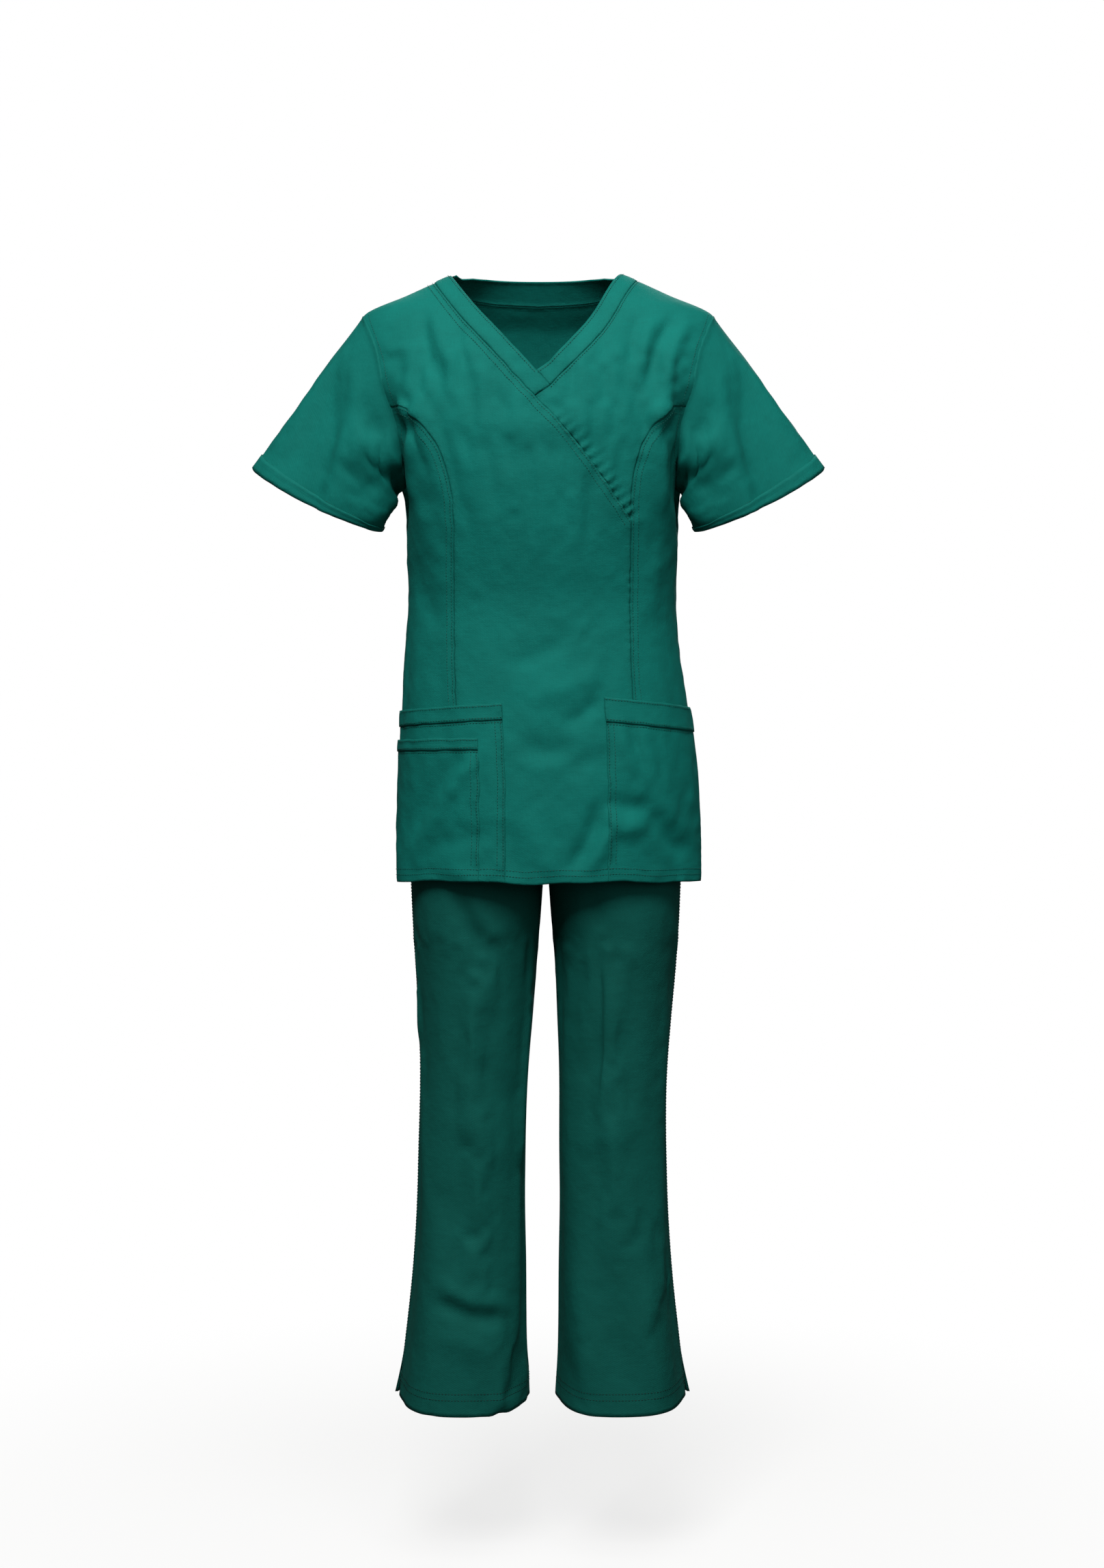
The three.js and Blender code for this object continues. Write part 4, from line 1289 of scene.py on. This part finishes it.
def stitch_tree(thread):
    """Stitches of a set length along every line of the mesh that it is given."""
    tree = bpy.data.node_groups.new("Stitches", "GeometryNodeTree")
    face = tree.interface
    face.new_socket("Lines", in_out="INPUT", socket_type="NodeSocketGeometry")
    for label, value in (("Pitch", 0.0034), ("Length", 0.0027), ("Width", 0.0008),
                         ("Height", 0.0005)):
        socket = face.new_socket(label, in_out="INPUT", socket_type="NodeSocketFloat")
        socket.default_value = value
    socket = face.new_socket("Seed", in_out="INPUT", socket_type="NodeSocketInt")
    socket.default_value = 7
    face.new_socket("Stitches", in_out="OUTPUT", socket_type="NodeSocketGeometry")
    given = add(tree, "NodeGroupInput")
    curve = add(tree, "GeometryNodeMeshToCurve", links={"Mesh": given.outputs["Lines"]})
    spaced = add(tree, "GeometryNodeResampleCurve", {"mode": "LENGTH"},
                 {"Curve": curve.outputs["Curve"], "Length": given.outputs["Pitch"]})
    ball = add(tree, "GeometryNodeMeshUVSphere",
               values={"Segments": 5, "Rings": 4, "Radius": 0.5})
    size = add(tree, "ShaderNodeCombineXYZ", links={
        "X": given.outputs["Length"], "Y": given.outputs["Width"],
        "Z": given.outputs["Height"]})
    slack = add(tree, "FunctionNodeRandomValue", {"data_type": "FLOAT"},
                {"Seed": given.outputs["Seed"]}, {"Min": 0.85, "Max": 1.1})
    scaled = add(tree, "ShaderNodeVectorMath", {"operation": "SCALE"},
                  {"Vector": size.outputs["Vector"], "Scale": slack.outputs[1]})
    tangent = add(tree, "GeometryNodeInputTangent")
    facing = add(tree, "GeometryNodeInputNamedAttribute", {"data_type": "FLOAT_VECTOR"},
                 values={"Name": "facing"})
    turned = add(tree, "FunctionNodeAlignRotationToVector", {"axis": "X"},
                 {"Vector": tangent.outputs["Tangent"]})
    rolled = add(tree, "FunctionNodeAlignRotationToVector", {"axis": "Z", "pivot_axis": "X"},
                 {"Rotation": turned.outputs["Rotation"],
                  "Vector": facing.outputs["Attribute"]})
    placed = add(tree, "GeometryNodeInstanceOnPoints", links={
        "Points": spaced.outputs["Curve"], "Instance": ball.outputs["Mesh"],
        "Rotation": rolled.outputs["Rotation"], "Scale": scaled.outputs["Vector"]})
    real = add(tree, "GeometryNodeRealizeInstances",
               links={"Geometry": placed.outputs["Instances"]})
    smooth_faces = add(tree, "GeometryNodeSetShadeSmooth",
                       links={"Geometry": real.outputs["Geometry"]})
    painted = add(tree, "GeometryNodeSetMaterial", values={"Material": thread},
                  links={"Geometry": smooth_faces.outputs["Geometry"]})
    add(tree, "NodeGroupOutput", links={"Stitches": painted.outputs["Geometry"]})
    return tree


def sew_up(body, thread):
    """All the stitches of one body as a plain mesh."""
    points, facing, edges = [], [], []
    for line, normals in ROWS[body]:
        start = len(points)
        points += list(line)
        facing += list(normals)
        edges += [(start + i, start + i + 1) for i in range(len(line) - 1)]
    mesh = bpy.data.meshes.new(body + "_lines")
    mesh.from_pydata((np.array(points) * MM).tolist(), edges, [])
    wanted = mesh.attributes.new("facing", "FLOAT_VECTOR", "POINT")
    facing = np.array(facing)
    facing /= np.maximum(np.linalg.norm(facing, axis=1, keepdims=True), 1e-9)
    wanted.data.foreach_set("vector", facing.ravel())
    lines = bpy.data.objects.new(body + "_lines", mesh)
    bpy.context.scene.collection.objects.link(lines)
    modifier = lines.modifiers.new("Stitches", "NODES")
    modifier.node_group = stitch_tree(thread)
    for item in modifier.node_group.interface.items_tree:
        if item.in_out == "INPUT" and item.name == "Pitch":
            modifier[item.identifier] = STITCH_PITCH[body]
    graph = bpy.context.evaluated_depsgraph_get()
    sewn = bpy.data.meshes.new_from_object(lines.evaluated_get(graph))
    bpy.data.objects.remove(lines)
    stitches = bpy.data.objects.new(body + "_stitches", sewn)
    bpy.context.scene.collection.objects.link(stitches)
    return stitches


# ---- materials -----------------------------------------------------------------------


def linear(code):
    """A linear colour from an sRGB hex code."""
    values = [int(code[i:i + 2], 16) / 255 for i in (1, 3, 5)]
    return [v / 12.92 if v <= 0.04045 else ((v + 0.055) / 1.055) ** 2.4 for v in values] + [1]


def empty_material(name):
    material = bpy.data.materials.new(name)
    material.use_nodes = True
    material.node_tree.nodes.clear()
    return material, material.node_tree


def add(tree, kind, settings=None, links=None, values=None):
    """Adds a node with its settings, its socket values and the links into it."""
    made = tree.nodes.new(kind)
    for name, value in (settings or {}).items():
        setattr(made, name, value)
    for name, value in (values or {}).items():
        made.inputs[name].default_value = value
    for name, output in (links or {}).items():
        tree.links.new(output, made.inputs[name])
    return made


def twill(name, light, dark, seam_shade, sheen):
    """Polyester-cotton twill, 150 g/m2, piece dyed: matt, with a faint diagonal line, and
    painted shade along its seams.

    The real lines are 0.5 mm apart, too fine to show, so they are drawn 1.7 mm apart.
    """
    material, tree = empty_material(name)
    cut = add(tree, "ShaderNodeUVMap", {"uv_map": "cut"})
    place = add(tree, "ShaderNodeTexCoord")
    turned = add(tree, "ShaderNodeMapping", links={"Vector": cut.outputs["UV"]},
                 values={"Rotation": (0, 0, math.radians(62))})
    lines = add(tree, "ShaderNodeTexWave", {"wave_type": "BANDS", "bands_direction": "X"},
                {"Vector": turned.outputs["Vector"]},
                {"Scale": 0.314 / 0.0017, "Distortion": 1.2, "Detail": 2.0,
                 "Detail Scale": 2.0})
    warp = add(tree, "ShaderNodeMapping", links={"Vector": cut.outputs["UV"]},
               values={"Scale": (1 / 0.0011, 1 / 0.014, 1)})
    slubs = add(tree, "ShaderNodeTexNoise", links={"Vector": warp.outputs["Vector"]},
                values={"Scale": 1.0, "Detail": 2.0, "Roughness": 0.6})
    weft = add(tree, "ShaderNodeMapping", links={"Vector": cut.outputs["UV"]},
               values={"Scale": (1 / 0.018, 1 / 0.0012, 1)})
    bars = add(tree, "ShaderNodeTexNoise", links={"Vector": weft.outputs["Vector"]},
               values={"Scale": 1.0, "Detail": 2.0, "Roughness": 0.6})
    threads = add(tree, "ShaderNodeMath", {"operation": "ADD"},
                  {0: slubs.outputs["Fac"], 1: bars.outputs["Fac"]})
    woven = add(tree, "ShaderNodeMath", {"operation": "MULTIPLY_ADD"},
                {0: lines.outputs["Fac"], 2: threads.outputs["Value"]}, {1: 0.45})
    cloud = add(tree, "ShaderNodeTexNoise", links={"Vector": place.outputs["Object"]},
                values={"Scale": 1 / 0.07, "Detail": 3.0, "Roughness": 0.55})
    shade = add(tree, "ShaderNodeMath", {"operation": "MULTIPLY_ADD"},
                {0: woven.outputs["Value"], 2: cloud.outputs["Fac"]}, {1: 0.55})
    tone = add(tree, "ShaderNodeMapRange", links={"Value": shade.outputs["Value"]},
               values={"From Min": 0.7, "From Max": 1.7, "To Min": 0.0, "To Max": 1.0})
    dyed = add(tree, "ShaderNodeMix", {"data_type": "RGBA"},
               {"Factor": tone.outputs["Result"]})
    dyed.inputs["A"].default_value = linear(dark)
    dyed.inputs["B"].default_value = linear(light)
    # Painted shade: near a seam the dyed colour is mixed up to a fifth of the way to a darker
    # colour. This stands in for the shade of the seam groove, which the mesh is too coarse to
    # form. The factor named worn is this painted shade, not wear.
    seam = add(tree, "ShaderNodeAttribute", {"attribute_name": "seam"})
    worn = add(tree, "ShaderNodeMath", {"operation": "MULTIPLY"},
               {0: seam.outputs["Fac"]}, {1: 0.2})
    seam_shaded = add(tree, "ShaderNodeMix", {"data_type": "RGBA"},
                {"Factor": worn.outputs["Value"], "A": dyed.outputs["Result"]})
    seam_shaded.inputs["B"].default_value = linear(seam_shade)
    soft = add(tree, "ShaderNodeTexNoise", links={"Vector": place.outputs["Object"]},
               values={"Scale": 1 / 0.022, "Detail": 3.0, "Roughness": 0.5})
    crease = add(tree, "ShaderNodeTexNoise", links={"Vector": place.outputs["Object"]},
                 values={"Scale": 1 / 0.006, "Detail": 2.0, "Roughness": 0.5})
    gathered = add(tree, "ShaderNodeMath", {"operation": "MULTIPLY"},
                   {0: crease.outputs["Fac"], 1: seam.outputs["Fac"]})
    broad = add(tree, "ShaderNodeBump", links={"Height": soft.outputs["Fac"]},
                values={"Strength": 0.35, "Distance": 0.004})
    puckered = add(tree, "ShaderNodeBump", links={
        "Height": gathered.outputs["Value"], "Normal": broad.outputs["Normal"]},
        values={"Strength": 0.5, "Distance": 0.002})
    fine = add(tree, "ShaderNodeBump", links={
        "Height": woven.outputs["Value"], "Normal": puckered.outputs["Normal"]},
        values={"Strength": 0.3, "Distance": 0.0004})
    surface_node = add(tree, "ShaderNodeBsdfPrincipled", links={
        "Base Color": seam_shaded.outputs["Result"], "Normal": fine.outputs["Normal"]},
        values={"Roughness": 0.82, "IOR": 1.46, "Specular IOR Level": 0.18,
                "Sheen Weight": sheen, "Sheen Roughness": 0.45,
                "Sheen Tint": linear("#46c8b4")})
    add(tree, "ShaderNodeOutputMaterial", links={"Surface": surface_node.outputs["BSDF"]})
    return material


def thread_material(name, light, dark):
    """Spun polyester sewing thread: a slight gloss, twisted; its colours are given darker than
    the cloth, as painted shade of the pressed groove it lies in.
    """
    material, tree = empty_material(name)
    place = add(tree, "ShaderNodeTexCoord")
    twist = add(tree, "ShaderNodeTexNoise", links={"Vector": place.outputs["Object"]},
                values={"Scale": 1 / 0.0011, "Detail": 1.0})
    dyed = add(tree, "ShaderNodeMix", {"data_type": "RGBA"}, {"Factor": twist.outputs["Fac"]})
    dyed.inputs["A"].default_value = linear(dark)
    dyed.inputs["B"].default_value = linear(light)
    raised = add(tree, "ShaderNodeBump", links={"Height": twist.outputs["Fac"]},
                 values={"Strength": 0.3, "Distance": 0.0002})
    gloss = add(tree, "ShaderNodeBsdfPrincipled", links={
        "Base Color": dyed.outputs["Result"], "Normal": raised.outputs["Normal"]},
        values={"Roughness": 0.6, "IOR": 1.5, "Specular IOR Level": 0.4})
    add(tree, "ShaderNodeOutputMaterial", links={"Surface": gloss.outputs["BSDF"]})
    return material


def elastic_material():
    """Woven elastic: off-white ribs along its length, 2 mm apart, with fine cross ribs."""
    material, tree = empty_material("ribbed woven elastic")
    cut = add(tree, "ShaderNodeUVMap", {"uv_map": "cut"})
    ribs = add(tree, "ShaderNodeTexWave", {"wave_type": "BANDS", "bands_direction": "Y"},
               {"Vector": cut.outputs["UV"]}, {"Scale": 0.314 / 0.002, "Distortion": 0.3})
    cross = add(tree, "ShaderNodeTexWave", {"wave_type": "BANDS", "bands_direction": "X"},
                {"Vector": cut.outputs["UV"]}, {"Scale": 0.314 / 0.0013, "Distortion": 0.6})
    both = add(tree, "ShaderNodeMath", {"operation": "MULTIPLY_ADD"},
               {0: cross.outputs["Fac"], 2: ribs.outputs["Fac"]}, {1: 0.4})
    tone = add(tree, "ShaderNodeMix", {"data_type": "RGBA"}, {"Factor": both.outputs["Value"]})
    tone.inputs["A"].default_value = linear("#b9b6aa")
    tone.inputs["B"].default_value = linear("#e2e0d6")
    raised = add(tree, "ShaderNodeBump", links={"Height": both.outputs["Value"]},
                 values={"Strength": 0.5, "Distance": 0.0005})
    matt = add(tree, "ShaderNodeBsdfPrincipled", links={
        "Base Color": tone.outputs["Result"], "Normal": raised.outputs["Normal"]},
        values={"Roughness": 0.75, "IOR": 1.5})
    add(tree, "ShaderNodeOutputMaterial", links={"Surface": matt.outputs["BSDF"]})
    return material


# ---- camera, floor and light ---------------------------------------------------------


VIEW_ANGLE = 36.7  # of the longer side of the frame, in degrees
FLOOR_Z = -1.07
FLOOR_HALF = 30


def make_stage():
    camera = bpy.data.cameras.new("camera")
    camera.sensor_fit = "AUTO"
    camera.lens = camera.sensor_width / 2 / math.tan(math.radians(VIEW_ANGLE / 2))
    eye = bpy.data.objects.new("camera", camera)
    eye.location = (0.011, -2.7, -0.193)
    eye.rotation_euler = (math.radians(90), 0, 0)
    bpy.context.scene.collection.objects.link(eye)
    bpy.context.scene.camera = eye

    mesh = bpy.data.meshes.new("floor")
    corners = [(-1, -1), (1, -1), (1, 1), (-1, 1)]
    mesh.from_pydata([(x * FLOOR_HALF, y * FLOOR_HALF, FLOOR_Z) for x, y in corners], [],
                     [(0, 1, 2, 3)])
    floor = bpy.data.objects.new("floor", mesh)
    bpy.context.scene.collection.objects.link(floor)
    mesh.materials.append(floor_material())
    floor.visible_diffuse = False
    floor.visible_glossy = False

    for name, place, aim, size, power in (
        ("key", (-0.5, -2.9, 2.6), (0, 0, 0.05), 1.5, 94),
        ("fill", (1.9, -3.3, 0.9), (0, 0, -0.3), 1.8, 13),
        ("top", (0.05, -1.2, 2.2), (0, 0, 0.1), 1.5, 30),
        ("rear", (0.4, 3.2, 2.2), (0, 0, -0.1), 2.0, 95),
    ):
        light = bpy.data.lights.new(name, "AREA")
        light.size = size
        light.energy = power
        lamp = bpy.data.objects.new(name, light)
        lamp.location = place
        lamp.rotation_euler = (Vector(aim) - Vector(place)).to_track_quat("-Z", "Y").to_euler()
        bpy.context.scene.collection.objects.link(lamp)

    world = bpy.data.worlds.new("studio")
    world.use_nodes = True
    tree = world.node_tree
    tree.nodes.clear()
    seen = add(tree, "ShaderNodeLightPath")
    room = add(tree, "ShaderNodeBackground", values={"Color": (1, 1, 1, 1), "Strength": 0.06})
    backdrop = add(tree, "ShaderNodeBackground",
                   values={"Color": (1, 1, 1, 1), "Strength": 1.0})
    either = add(tree, "ShaderNodeMixShader", links={
        0: seen.outputs["Is Camera Ray"], 1: room.outputs["Background"],
        2: backdrop.outputs["Background"]})
    add(tree, "ShaderNodeOutputWorld", links={"Surface": either.outputs["Shader"]})
    bpy.context.scene.world = world
    bpy.context.scene.view_settings.view_transform = "Standard"


def floor_material():
    """Matt white paint that runs out into an evenly lit white sweep."""
    paint, tree = empty_material("matt white floor")
    place = add(tree, "ShaderNodeTexCoord")
    reach = add(tree, "ShaderNodeVectorMath", {"operation": "DISTANCE"},
                {0: place.outputs["Object"]}, {1: (0, 0.1, FLOOR_Z)})
    fade = add(tree, "ShaderNodeMapRange", {"interpolation_type": "SMOOTHSTEP"},
               {"Value": reach.outputs["Value"]},
               {"From Min": 0.3, "From Max": 1.2, "To Min": 0.7, "To Max": 1.0})
    matt = add(tree, "ShaderNodeBsdfDiffuse", values={"Color": linear("#f8f8f6")})
    lit = add(tree, "ShaderNodeEmission", values={"Color": (1, 1, 1, 1), "Strength": 1.0})
    swept = add(tree, "ShaderNodeMixShader", links={
        0: fade.outputs["Result"], 1: matt.outputs["BSDF"], 2: lit.outputs["Emission"]})
    add(tree, "ShaderNodeOutputMaterial", links={"Surface": swept.outputs["Shader"]})
    return paint


# ---- the suit ------------------------------------------------------------------------

BODY_OF = {"sleeve_left": "left_sleeve", "sleeve_hem_left": "left_sleeve",
           "sleeve_right": "right_sleeve", "sleeve_hem_right": "right_sleeve"}
TRIM = ("band", "facing", "hem")


def body_of(name):
    if name.startswith(("trouser", "leg", "waist")):
        return "trousers"
    return BODY_OF.get(name, "top")


def follow_sleeve(piece):
    """Bakes the piece's placement into its mesh, where it stays as made."""
    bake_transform(piece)


def finish_suit():
    top_cloth = twill("teal polyester-cotton twill", "#077d72", "#056a60", "#06493f", 0.03)
    trim_cloth = twill("teal twill, folded and pressed", "#087d72", "#056a60", "#06493f", 0.03)
    # Painted shade: the trousers' twill is drawn darker than the top's, standing in for the
    # dimmer light on the lower half of the suit.
    leg_cloth = twill("trouser twill, teal with painted shade", "#0d675d", "#0a5a50", "#08423a", 0.03)
    # Painted shade: both threads are drawn darker than the cloth they sew, standing in for the
    # shade of the pressed groove along each line of stitches.
    thread = thread_material("teal polyester thread", "#09685e", "#08554c")
    leg_thread = thread_material("trouser thread, teal with painted shade", "#0b3f38", "#08322d")
    elastic = elastic_material()
    for name, facts in PIECES.items():
        piece = facts["piece"]
        body = body_of(name)
        if name == "waist_elastic":
            slot, material = "elastic", elastic
        elif body == "trousers":
            slot, material = "trouser_cloth", leg_cloth
        elif any(word in name for word in TRIM):
            slot, material = "top_trim", trim_cloth
        else:
            slot, material = "top_cloth", top_cloth
        piece.data.materials.append(material)
        if name in BODY_OF:
            follow_sleeve(piece)
        else:
            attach(piece, body)
        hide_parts(name)
        width, length = (round(x * MM, 4) for x in facts["flat"])
        width, length = max(width, 0.0101), max(length, 0.0101)
    for body in ROWS:
        stitches = sew_up(body, leg_thread if body == "trousers" else thread)
        if body.endswith("sleeve"):
            follow_sleeve(stitches)
        else:
            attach(stitches, body)


make_stage()
make_top()
make_pockets()
make_sleeves()
make_trousers()
make_waistband()
sew_the_top()
sew_sleeves()
sew_the_trousers()
finish_suit()
